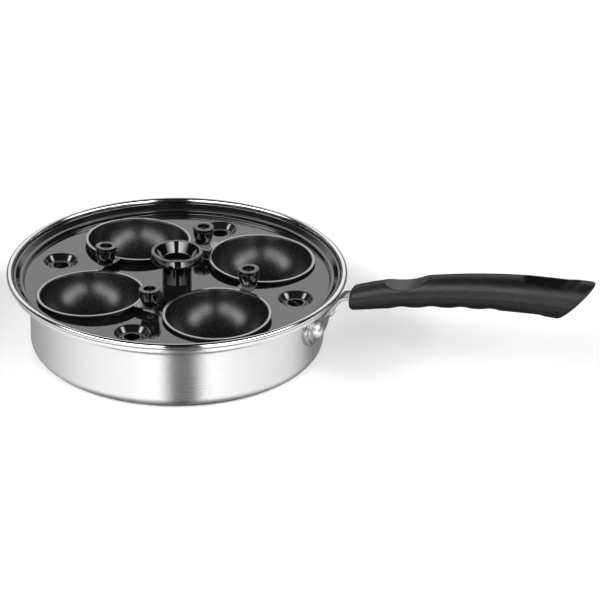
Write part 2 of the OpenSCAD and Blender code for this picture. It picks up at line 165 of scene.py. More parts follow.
def soften(
    bm: bmesh.types.BMesh, edges: Iterable, width: float, steps: int = 2, clamp: bool = False
) -> None:
    """Rounds edges.

    Args:
        bm: Their mesh.
        edges: The edges.
        width: How far the rounding reaches from each.
        steps: How many straight pieces it has.
        clamp: Whether roundings are kept from crossing.
    """
    bmesh.ops.bevel(
        bm, geom=list(edges), offset=width, segments=steps, profile=0.5, material=-1, affect="EDGES",
        clamp_overlap=clamp,
    )


def join(bm: bmesh.types.BMesh, other: bmesh.types.BMesh) -> None:
    """Adds one mesh to another.

    Args:
        bm: The mesh that grows.
        other: The mesh that is used up.
    """
    mesh = bpy.data.meshes.new("joined_part")
    other.to_mesh(mesh)
    other.free()
    bm.from_mesh(mesh)
    bpy.data.meshes.remove(mesh)


def shown(
    name: str, bm: bmesh.types.BMesh, finish: bpy.types.Material, sharp: float = 40
) -> bpy.types.Object:
    """Makes a mesh an object of the scene.

    Args:
        name: The piece's name.
        bm: Its mesh, which is used up.
        finish: Its material.
        sharp: The angle in degrees past which an edge stays sharp.

    Returns:
        The object.
    """
    mesh = bpy.data.meshes.new(name)
    bm.to_mesh(mesh)
    bm.free()
    mesh.shade_smooth()
    mesh.set_sharp_from_angle(angle=math.radians(sharp))
    mesh.materials.append(finish)
    piece = bpy.data.objects.new(name, mesh)
    bpy.context.scene.collection.objects.link(piece)
    return piece


def place(piece: bpy.types.Object, body: str, slot: Slot, *nodes: str) -> None:
    """Rides a piece on its body, in place of the nodes that it stands for.

    Args:
        piece: The piece.
        body: The name of its body.
        slot: Its material slot; not used.
        nodes: The names of the nodes.
    """
    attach(piece, body)
    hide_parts(*nodes)
    LOG.info("%s: %d faces on %s", piece.name, len(piece.data.polygons), body)


class Nodes:
    """Short calls that add and link the nodes of one tree."""

    def __init__(self, tree: bpy.types.NodeTree) -> None:
        """Works on this tree."""
        self.tree = tree

    @classmethod
    def emptied(cls, owner: bpy.types.Material | bpy.types.World) -> "Nodes":
        """Starts the tree of a material or a world afresh.

        Args:
            owner: The material or the world.

        Returns:
            The calls for its tree.
        """
        owner.use_nodes = True
        owner.node_tree.nodes.clear()
        return cls(owner.node_tree)

    def add(self, kind: str, inputs: dict | None = None, **settings: object) -> bpy.types.Node:
        """Adds a node.

        Args:
            kind: Its type, without the common first word.
            inputs: A value or a socket for each named input.
            settings: Its own properties.

        Returns:
            The node.
        """
        node = self.tree.nodes.new("ShaderNode" + kind)
        for key, value in settings.items():
            setattr(node, key, value)
        for key, value in (inputs or {}).items():
            if isinstance(value, bpy.types.NodeSocket):
                self.tree.links.new(value, node.inputs[key])
            else:
                node.inputs[key].default_value = value
        return node

    def math(self, operation: str, *values: object) -> bpy.types.NodeSocket:
        """The result of a sum on numbers or sockets."""
        return self.add("Math", dict(enumerate(values)), operation=operation).outputs[0]

    def rise(self, value: object, low: float, high: float) -> bpy.types.NodeSocket:
        """A number that rises smoothly from 0 at low to 1 at high."""
        inputs = {"Value": value, "From Min": low, "From Max": high}
        return self.add("MapRange", inputs, interpolation_type="SMOOTHSTEP").outputs[0]

    def between(self, share: object, low: object, high: object) -> bpy.types.NodeSocket:
        """A number between two numbers."""
        return self.add("Mix", {0: share, 2: low, 3: high}, data_type="FLOAT").outputs[0]

    def blend(self, share: object, low: object, high: object) -> bpy.types.NodeSocket:
        """A colour between two colours."""
        return self.add("Mix", {0: share, 6: low, 7: high}, data_type="RGBA").outputs[2]

    def spot(self) -> bpy.types.NodeSocket:
        """The place on the piece, in its own coordinates."""
        return self.add("TexCoord").outputs["Object"]

    def split(self, vector: bpy.types.NodeSocket) -> Sequence[bpy.types.NodeSocket]:
        """The X, Y and Z of a vector."""
        return self.add("SeparateXYZ", {0: vector}).outputs

    def mark(self, name: str) -> bpy.types.NodeSocket:
        """A mark that a piece's mesh carries, from 0 to 1."""
        return self.add("Attribute", attribute_name=name).outputs["Fac"]

    def bump(self, height: object, depth: float, strength: float) -> bpy.types.NodeSocket:
        """A normal from a height map of that depth, in metres."""
        return self.add("Bump", {"Height": height, "Distance": depth, "Strength": strength}).outputs[0]


def grey(level: float, warmth: float = 0.0) -> tuple[float, float, float, float]:
    """A grey as a colour, warmer above a warmth of 0 and cooler below it."""
    return (level * (1 + warmth), level, level * (1 - warmth), 1.0)


def effect(
    nodes: Nodes, name: str, values: dict[str, float], outputs: Sequence[str], fill: Callable
) -> bpy.types.Node:
    """Uses a shader group that finishes share, and builds it the first time.

    Args:
        nodes: The tree that uses it.
        name: The group's name.
        values: Each number that it takes beside the place on the piece.
        outputs: The names of the values that it puts out.
        fill: Builds its nodes from (nodes, input node) and returns one socket for each output.

    Returns:
        The group's node in the tree.
    """
    group = bpy.data.node_groups.get(name)
    if group is None:
        group = bpy.data.node_groups.new(name, "ShaderNodeTree")
        group.interface.new_socket("Vector", in_out="INPUT", socket_type="NodeSocketVector")
        for key in values:
            group.interface.new_socket(key, in_out="INPUT", socket_type="NodeSocketFloat")
        for key in outputs:
            group.interface.new_socket(key, in_out="OUTPUT", socket_type="NodeSocketFloat")
        entry = group.nodes.new("NodeGroupInput")
        leave = group.nodes.new("NodeGroupOutput")
        for socket, target in zip(fill(Nodes(group), entry), leave.inputs):
            group.links.new(socket, target)
    return nodes.add("Group", {"Vector": nodes.spot(), **values}, node_tree=group)


def fill_turning(nodes: Nodes, entry: bpy.types.Node) -> list[bpy.types.NodeSocket]:
    """Fine lines that run round the Z axis, without a seam.

    Args:
        nodes: The group's tree.
        entry: Its input node.

    Returns:
        The lines, from 0 to 1.
    """
    near_axis = 0.001
    xyz = nodes.split(entry.outputs["Vector"])
    square = nodes.math("ADD", nodes.math("POWER", xyz[0], 2.0), nodes.math("POWER", xyz[1], 2.0))
    radius = nodes.math("MAXIMUM", nodes.math("SQRT", square), near_axis)
    across = nodes.math("MULTIPLY", nodes.math("SUBTRACT", xyz[2], radius), entry.outputs["Lines"])
    along = [
        nodes.math("MULTIPLY", nodes.math("DIVIDE", xyz[i], radius), entry.outputs["Breaks"])
        for i in (0, 1)
    ]
    drawn = nodes.add("CombineXYZ", {0: along[0], 1: along[1], 2: across}).outputs[0]
    noise = nodes.add("TexNoise", {"Vector": drawn, "Scale": 1.0, "Detail": 3.0, "Roughness": 0.65})
    return [noise.outputs[0]]


def fill_grain(nodes: Nodes, entry: bpy.types.Node) -> list[bpy.types.NodeSocket]:
    """A fine grain and scattered specks.

    Args:
        nodes: The group's tree.
        entry: Its input node.

    Returns:
        The grain as a height, and the specks as a mask.
    """
    vector, scale = entry.outputs["Vector"], entry.outputs["Scale"]
    noise = nodes.add("TexNoise", {"Vector": vector, "Scale": scale, "Detail": 2.0, "Roughness": 0.7})
    cells = nodes.add("TexVoronoi", {"Vector": vector, "Scale": scale}, feature="F1")
    dots = nodes.math("LESS_THAN", cells.outputs["Distance"], entry.outputs["Speck Size"])
    pick = nodes.add("SeparateColor", {"Color": cells.outputs["Color"]}).outputs[0]
    chosen = nodes.math("LESS_THAN", pick, entry.outputs["Speck Share"])
    return [noise.outputs[0], nodes.math("MULTIPLY", dots, chosen)]


def fill_handling(nodes: Nodes, entry: bpy.types.Node) -> list[bpy.types.NodeSocket]:
    """Soft clouds of wiped and untouched surface.

    Args:
        nodes: The group's tree.
        entry: Its input node.

    Returns:
        The clouds, from 0 to 1.
    """
    untouched, wiped = 0.35, 0.65
    inputs = {"Vector": entry.outputs["Vector"], "Scale": entry.outputs["Scale"]}
    noise = nodes.add("TexNoise", {**inputs, "Detail": 4.0, "Distortion": 0.6})
    return [nodes.rise(noise.outputs[0], untouched, wiped)]


class Effects:
    """The effects that the finishes share."""

    @staticmethod
    def turning(nodes: Nodes, lines: float, breaks: float) -> bpy.types.NodeSocket:
        """Turned or brushed lines, from 0 to 1."""
        values = {"Lines": lines, "Breaks": breaks}
        return effect(nodes, "TurnedLines", values, ("Line",), fill_turning).outputs["Line"]

    @staticmethod
    def grain(nodes: Nodes, scale: float, size: float = 0.3, share: float = 0.2) -> bpy.types.Node:
        """Moulded or sprayed grain: Height and Speck."""
        values = {"Scale": scale, "Speck Size": size, "Speck Share": share}
        return effect(nodes, "FineGrain", values, ("Height", "Speck"), fill_grain)

    @staticmethod
    def handling(nodes: Nodes, scale: float) -> bpy.types.NodeSocket:
        """Signs of wiping and handling, from 0 to 1."""
        return effect(nodes, "Handling", {"Scale": scale}, ("Wiped",), fill_handling).outputs["Wiped"]


class Finish:
    """A material with a Principled shader, built the first time that it is asked for."""

    name: str

    def material(self) -> bpy.types.Material:
        """The finish as a material.

        Returns:
            The material, which is the same one each time.
        """
        made = bpy.data.materials.get(self.name)
        if made is None:
            made = bpy.data.materials.new(self.name)
            nodes = Nodes.emptied(made)
            shader = nodes.add("BsdfPrincipled", self.dress(nodes))
            nodes.add("OutputMaterial", {"Surface": shader.outputs[0]})
        return made

    def dress(self, nodes: Nodes) -> dict[str, object]:
        """Builds the finish's own nodes.

        Args:
            nodes: The material's tree.

        Returns:
            A socket or a value for each input of the shader that it sets.
        """
        raise NotImplementedError


@dataclass(frozen=True)
class TurnedAluminium(Finish):
    """Satin aluminium, brushed round the wall and polished on the bead."""

    name: str = "turned_aluminium"
    shades: Point = (0.87, 0.94)
    tone: Point = (0.25, 0.75)
    satin: float = 0.26
    streak: float = 0.10
    wipe: float = 0.03
    polish: float = 0.10
    polish_z: Point = (0.0478, 0.0492)
    stretch: float = 0.80
    stretch_turn: float = 0.25
    lines: float = 11000.0
    breaks: float = 9.0
    wipe_scale: float = 22.0
    grain_scale: float = 2600.0
    grain_share: float = 0.6
    depth: float = 0.00002
    strength: float = 0.7

    def dress(self, nodes: Nodes) -> dict[str, object]:
        """Brushed lines change the colour, the gloss and the relief a little.

        Args:
            nodes: The material's tree.

        Returns:
            What the shader's inputs get.
        """
        line = Effects.turning(nodes, self.lines, self.breaks)
        wiped = Effects.handling(nodes, self.wipe_scale)
        grain = Effects.grain(nodes, self.grain_scale).outputs["Height"]
        polished = nodes.rise(nodes.split(nodes.spot())[2], *self.polish_z)
        rough = nodes.math("MULTIPLY_ADD", line, self.streak, self.satin - self.streak / 2)
        rough = nodes.math("MULTIPLY_ADD", wiped, self.wipe, rough)
        relief = nodes.math("MULTIPLY_ADD", grain, self.grain_share, line)
        relief = nodes.math("MULTIPLY", relief, nodes.math("SUBTRACT", 1.0, polished))
        return {
            "Base Color": nodes.blend(nodes.rise(line, *self.tone), *map(grey, self.shades)),
            "Roughness": nodes.between(polished, rough, self.polish),
            "Normal": nodes.bump(relief, self.depth, self.strength),
            "Tangent": nodes.add("Tangent", direction_type="RADIAL", axis="Z").outputs[0],
            "Metallic": 1.0,
            "Anisotropic": self.stretch,
            "Anisotropic Rotation": self.stretch_turn,
        }


@dataclass(frozen=True)
class Steel(Finish):
    """Plain metal with a fine grain, from dull pressed steel to a bright plated screw."""

    name: str
    colour: float
    rough: float
    worn: float = 0.86
    spread: float = 0.08
    wipe_scale: float = 90.0
    grain_scale: float = 1800.0
    depth: float = 0.000015
    strength: float = 0.5

    def dress(self, nodes: Nodes) -> dict[str, object]:
        """Grain and handling marks break up the gloss.

        Args:
            nodes: The material's tree.

        Returns:
            What the shader's inputs get.
        """
        wiped = Effects.handling(nodes, self.wipe_scale)
        grain = Effects.grain(nodes, self.grain_scale).outputs["Height"]
        return {
            "Base Color": nodes.blend(wiped, grey(self.colour * self.worn), grey(self.colour)),
            "Roughness": nodes.math("MULTIPLY_ADD", wiped, self.spread, self.rough),
            "Normal": nodes.bump(grain, self.depth, self.strength),
            "Metallic": 1.0,
        }


@dataclass(frozen=True)
class Plastic(Finish):
    """Glossy black plastic or enamel, nearly smooth, under a clear coat."""

    name: str
    colour: float
    rough: float
    spread: float = 0.05
    worn: float = 1.5
    warmth: float = -0.02
    wipe_scale: float = 45.0
    wave_scale: float = 160.0
    depth: float = 0.00001
    strength: float = 0.3
    coat_rough: float = 0.04

    def dress(self, nodes: Nodes) -> dict[str, object]:
        """A slow wave in the surface and wiped patches keep it from looking perfect.

        Args:
            nodes: The material's tree.

        Returns:
            What the shader's inputs get.
        """
        wiped = Effects.handling(nodes, self.wipe_scale)
        wave = nodes.add("TexNoise", {"Vector": nodes.spot(), "Scale": self.wave_scale, "Detail": 1.0})
        worn = grey(self.colour * self.worn, self.warmth)
        return {
            "Base Color": nodes.blend(wiped, grey(self.colour), worn),
            "Roughness": nodes.math("MULTIPLY_ADD", wiped, self.spread, self.rough),
            "Normal": nodes.bump(wave.outputs[0], self.depth, self.strength),
            "Coat Weight": 1.0,
            "Coat Roughness": self.coat_rough,
        }


@dataclass(frozen=True)
class CupCoating(Finish):
    """Black non-stick coating with fine specks, and a bare ring of metal on the lip."""

    name: str = "speckled_coating"
    colour: float = 0.005
    speck: float = 0.03
    rough: float = 0.27
    lip_rough: float = 0.18
    lip_colour: float = 0.45
    grain_scale: float = 1500.0
    speck_size: float = 0.34
    speck_share: float = 0.32
    depth: float = 0.00006
    bending: float = 1.55

    def dress(self, nodes: Nodes) -> dict[str, object]:
        """The lip mark tells the bare ring from the grained bowl.

        Args:
            nodes: The material's tree.

        Returns:
            What the shader's inputs get.
        """
        lip = nodes.mark("lip")
        bowl = nodes.math("SUBTRACT", 1.0, lip)
        grain = Effects.grain(nodes, self.grain_scale, self.speck_size, self.speck_share).outputs
        speck = nodes.math("MULTIPLY", grain["Speck"], bowl)
        relief = nodes.math("MULTIPLY", grain["Height"], bowl)
        base = nodes.blend(speck, grey(self.colour), grey(self.speck))
        return {
            "Base Color": nodes.blend(lip, base, grey(self.lip_colour)),
            "Roughness": nodes.between(lip, self.rough, self.lip_rough),
            "Metallic": lip,
            "Normal": nodes.bump(relief, self.depth, 1.0),
            "IOR": self.bending,
        }


@dataclass(frozen=True)
class GripPlastic(Finish):
    """Satin black plastic with a moulded grain, smooth in the thumb rest."""

    name: str = "grained_grip"
    valley: float = 0.0018
    crests: Point = (0.012, 0.018)
    crest_at: Point = (0.42, 0.66)
    smooth: float = 0.036
    rough: float = 0.33
    spread: float = 0.06
    smooth_rough: float = 0.30
    wipe_scale: float = 35.0
    grain_scale: float = 1300.0
    depth: float = 0.00018
    strength: float = 0.9
    bending: float = 1.45

    def dress(self, nodes: Nodes) -> dict[str, object]:
        """The thumb_rest mark tells the smooth dip from the grained surface.

        Args:
            nodes: The material's tree.

        Returns:
            What the shader's inputs get.
        """
        thumb = nodes.mark("thumb_rest")
        wiped = Effects.handling(nodes, self.wipe_scale)
        grain = Effects.grain(nodes, self.grain_scale).outputs["Height"]
        worn = nodes.blend(wiped, *map(grey, self.crests))
        colour = nodes.blend(nodes.rise(grain, *self.crest_at), grey(self.valley), worn)
        rough = nodes.math("MULTIPLY_ADD", wiped, self.spread, self.rough)
        relief = nodes.math("MULTIPLY", grain, nodes.math("SUBTRACT", 1.0, thumb))
        return {
            "Base Color": nodes.blend(thumb, colour, grey(self.smooth)),
            "Roughness": nodes.between(thumb, rough, self.smooth_rough),
            "Normal": nodes.bump(relief, self.depth, self.strength),
            "IOR": self.bending,
        }


ALUMINIUM = TurnedAluminium()
BRACKET_STEEL = Steel("pressed_bracket_steel", 0.52, 0.24)
RIVET_ALUMINIUM = Steel("rivet_aluminium", 0.88, 0.17)
SCREW_STEEL = Steel("plated_screw_steel", 0.86, 0.26)
TRAY_COATING = Plastic("glossy_tray_coating", 0.006, 0.07)
KNOB_PLASTIC = Plastic("glossy_knob_plastic", 0.002, 0.07)
CUP_COATING = CupCoating()
GRIP_PLASTIC = GripPlastic()


@dataclass(frozen=True)
class Pan:
    """The pan's body: base, wall, flared shoulder and rolled bead."""

    rim_r: float = 0.110
    wall_r: float = 0.0952
    height: float = 0.0535
    wall_t: float = 0.0013
    base_t: float = 0.003
    corner_r: float = 0.008
    bead_r: float = 0.002
    shoulder_h: float = 0.0133
    slope: float = 26.5
    bend_r: float = 0.004
    neck_out: float = 0.15
    neck_in: float = 0.85
    groove_w: float = 0.0012
    groove_depth: float = 0.0004
    groove_first: float = 0.018
    groove_pitch: float = 0.014
    grooves: int = 5
    corner_steps: int = 12
    inner_corner_steps: int = 10
    bend_steps: int = 8
    bead_steps: int = 28
    steps: int = 192
    sharp: float = 32

    @property
    def bead(self) -> Point:
        """The middle of the bead."""
        return (self.rim_r - self.bead_r, self.height - self.bead_r)

    @property
    def bend(self) -> Point:
        """The middle of the bend between wall and shoulder."""
        return (self.wall_r + self.bend_r, self.bead[1] - self.shoulder_h)

    def shoulder_z(self, r: float) -> float:
        """Height of the shoulder's upper face.

        Args:
            r: The distance from the axis.

        Returns:
            The height there.
        """
        tilt = math.radians(self.slope)
        foot_x = self.bend[0] - self.bend_r * math.sin(tilt)
        foot_z = self.bend[1] + self.bend_r * math.cos(tilt)
        return foot_z + (r - foot_x) * math.tan(tilt) + self.wall_t / math.cos(tilt)

    def underside(self) -> list[Point]:
        """The flat base with its turned grooves.

        Returns:
            Its section, from the axis outwards.
        """
        line = [(0.0, 0.0)]
        for i in range(self.grooves):
            near = self.groove_first + i * self.groove_pitch
            far = near + self.groove_w
            line += [(near, 0.0), (near, self.groove_depth), (far, self.groove_depth), (far, 0.0)]
        return line

    def outline(self) -> list[Point]:
        """The section of the whole body.

        Returns:
            The points, from the axis out and back.
        """
        bead_x = self.bead[0]
        inner_r = self.wall_r - self.wall_t
        inner_corner = self.corner_r - self.wall_t
        rise = self.wall_t / math.cos(math.radians(self.slope))
        neck_out_x = bead_x - self.neck_out * self.bead_r
        neck_in_x = bead_x - self.neck_in * self.bead_r
        bead_start = -math.degrees(math.acos(-self.neck_out))
        bead_end = 360 - math.degrees(math.acos(-self.neck_in))
        inner_middle = (inner_r - inner_corner, self.base_t + inner_corner)
        return [
            *self.underside(),
            *arc((self.wall_r - self.corner_r, self.corner_r), self.corner_r, -90, 0, self.corner_steps),
            *arc(self.bend, self.bend_r, 180, 90 + self.slope, self.bend_steps),
            (neck_out_x, self.shoulder_z(neck_out_x) - rise),
            *arc(self.bead, self.bead_r, bead_start, bead_end, self.bead_steps),
            (neck_in_x, self.shoulder_z(neck_in_x)),
            *arc(self.bend, self.bend_r + self.wall_t, 90 + self.slope, 180, self.bend_steps),
            *arc(inner_middle, inner_corner, 0, -90, self.inner_corner_steps),
            (0.0, self.base_t),
        ]

    def build(self) -> None:
        """Makes the body."""
        solid = turned(self.outline(), self.steps)
        piece = shown("pan_wall_and_base", solid, ALUMINIUM.material(), self.sharp)
        place(piece, Body.PAN.value, Slot.ALUMINIUM, "pan_body")


@dataclass(frozen=True)
class Bracket:
    """The stepped plate on the wall, the strap that leaves it and the two rivets."""

    pan: Pan
    plate_t: float = 0.0036
    flange_t: float = 0.0021
    length: float = 0.055
    height: float = 0.020
    step_inset: float = 0.0024
    edge: float = 0.0006
    edge_steps: int = 3
    rim_angle: float = 50.0
    rivet_drop: float = 0.0243
    rivet_gap: float = 0.0324
    head_r: float = 0.0056
    head_h: float = 0.0040
    head_rim: float = 0.0008
    head_sink: float = 0.0002
    shank_r: float = 0.0025
    hub_r: float = 0.001
    inner_r: float = 0.0045
    inner_h: float = 0.0012
    inner_edge: float = 0.0006
    dome_steps: int = 14
    around: int = 64
    strap_w: float = 0.012
    strap_t: float = 0.002
    strap_foot: float = 0.0299
    strap_edge: float = 0.0003
    knee: Corner = (0.1099, 0.0487, 0.003)
    knee_steps: int = 8
    tang_end_x: float = 0.1535
    tang_slope: float = 12.0
    cut: float = 0.0015

    @property
    def rivet_z(self) -> float:
        """Height of the rivets."""
        return self.pan.height - self.rivet_drop

    def flat_plate(self) -> bmesh.types.BMesh:
        """The stepped plate before it is bent: X along it, Y up and Z out.

        Returns:
            The plate.
        """
        bm = bmesh.new()
        bmesh.ops.create_circle(bm, cap_ends=True, segments=self.around, radius=self.height / 2)
        half = (self.length - self.height) / 2
        for v in bm.verts:
            v.co.x += math.copysign(half, v.co.x) if abs(v.co.x) > TINY else half
        top = only(bmesh.types.BMFace, bmesh.ops.extrude_face_region(bm, geom=list(bm.faces))["geom"])
        bmesh.ops.translate(bm, vec=UP * self.flange_t, verts=top[0].verts)
        bmesh.ops.inset_region(bm, faces=top, thickness=self.step_inset, use_even_offset=True)
        raised = bmesh.ops.extrude_discrete_faces(bm, faces=[top[0]])["faces"]
        bmesh.ops.translate(bm, vec=UP * (self.plate_t - self.flange_t), verts=raised[0].verts)
        bmesh.ops.remove_doubles(bm, verts=bm.verts, dist=TINY)
        bmesh.ops.recalc_face_normals(bm, faces=bm.faces)
        corner = math.radians(self.rim_angle)
        rims = [
            e for e in bm.edges
            if e.is_manifold and e.calc_face_angle(0.0) > corner and max(v.co.z for v in e.verts) > TINY
        ]
        soften(bm, rims, self.edge, self.edge_steps, clamp=True)
        return bm

    def plate(self) -> bmesh.types.BMesh:
        """The plate, cut across into narrow strips and bent round the wall.

        Returns:
            The plate.
        """
        bm = self.flat_plate()
        count = round(self.length / self.cut)
        for i in range(1, count):
            x = -self.length / 2 + self.length * i / count
            bmesh.ops.bisect_plane(
                bm, geom=[*bm.verts, *bm.edges, *bm.faces], plane_co=(x, 0, 0), plane_no=(1, 0, 0),
                dist=TINY,
            )
        for v in bm.verts:
            turn = v.co.x / self.pan.wall_r
            out = self.pan.wall_r + v.co.z
            v.co = Vector((out * math.cos(turn), out * math.sin(turn), self.rivet_z + v.co.y))
        bmesh.ops.recalc_face_normals(bm, faces=bm.faces)
        return bm

    def strap_line(self) -> list[Point]:
        """The strap's upper side.

        Returns:
            The points, from inside the plate to the strap's end in the handle.
        """
        knee_x, knee_z, _ = self.knee
        end_z = knee_z + (self.tang_end_x - knee_x) * math.tan(math.radians(self.tang_slope))
        start_x = self.pan.wall_r + self.plate_t / 2
        rise = (knee_z - self.strap_foot) / (knee_x - self.pan.wall_r)
        start = (start_x, self.strap_foot + (start_x - self.pan.wall_r) * rise, 0.0)
        return rounded([start, self.knee, (self.tang_end_x, end_z, 0.0)], self.knee_steps)

    def strap(self) -> bmesh.types.BMesh:
        """The strap: a ribbon drawn out of its upper side, thickened and softened.

        Returns:
            The strap.
        """
        bm = bmesh.new()
        verts = [bm.verts.new((x, -self.strap_w / 2, z)) for x, z in self.strap_line()]
        edges = [bm.edges.new(pair) for pair in zip(verts, verts[1:])]
        ribbon = bmesh.ops.extrude_edge_only(bm, edges=edges)["geom"]
        moved = only(bmesh.types.BMVert, ribbon)
        bmesh.ops.translate(bm, vec=(0, self.strap_w, 0), verts=moved)
        faces = only(bmesh.types.BMFace, ribbon)
        if faces[0].normal.z < 0:
            bmesh.ops.reverse_faces(bm, faces=faces)
        geom = [*bm.verts, *bm.edges, *bm.faces]
        made = bmesh.ops.solidify(bm, geom=geom, thickness=self.strap_t)["geom"]
        drawn = {*only(bmesh.types.BMFace, made), *faces}
        bmesh.ops.recalc_face_normals(bm, faces=list(drawn))
        corner = math.radians(self.rim_angle)
        sides = {e for f in drawn if f.is_valid for e in f.edges if e.calc_face_angle(0.0) > corner}
        soften(bm, sides, self.strap_edge)
        return bm

    def rivet(self) -> bmesh.types.BMesh:
        """One rivet, standing on the origin with its dome up.

        Returns:
            The rivet.
        """
        dome_h = self.head_h - self.head_rim
        dome_r = (self.head_r**2 + dome_h**2) / (2 * dome_h)
        edge_angle = math.degrees(math.asin(self.head_r / dome_r))
        dome_middle = (0.0, self.plate_t + self.head_h - dome_r)
        inside = -self.pan.wall_t
        foot = inside - self.inner_h
        under = self.plate_t - self.head_sink
        inner = rounded([
            (self.hub_r, foot, 0), (self.inner_r, foot, self.inner_edge), (self.inner_r, inside, 0),
        ])
        line = [
            (0.0, foot), *inner, (self.shank_r, inside), (self.shank_r, under), (self.head_r, under),
            *arc(dome_middle, dome_r, 90 - edge_angle, 90, self.dome_steps),
        ]
        return turned(line, self.around)

    def build(self) -> None:
        """Makes the bracket and the rivets."""
        bm = self.plate()
        join(bm, self.strap())
        piece = shown("bracket_plate_and_strap", bm, BRACKET_STEEL.material(), sharp=35)
        place(piece, Body.PAN.value, Slot.BRACKET, "handle_bracket")
        both = bmesh.new()
        turn = math.asin(self.rivet_gap / 2 / (self.pan.wall_r + self.plate_t))
        seat = Matrix.Translation((self.pan.wall_r, 0, self.rivet_z)) @ Matrix.Rotation(math.pi / 2, 4, "Y")
        for side in (-1, 1):
            one = self.rivet()
            bmesh.ops.transform(one, matrix=Matrix.Rotation(side * turn, 4, "Z") @ seat, verts=one.verts)
            join(both, one)
        piece = shown("domed_rivets", both, RIVET_ALUMINIUM.material())
        place(piece, Body.PAN.value, Slot.RIVET, "bracket_rivets")


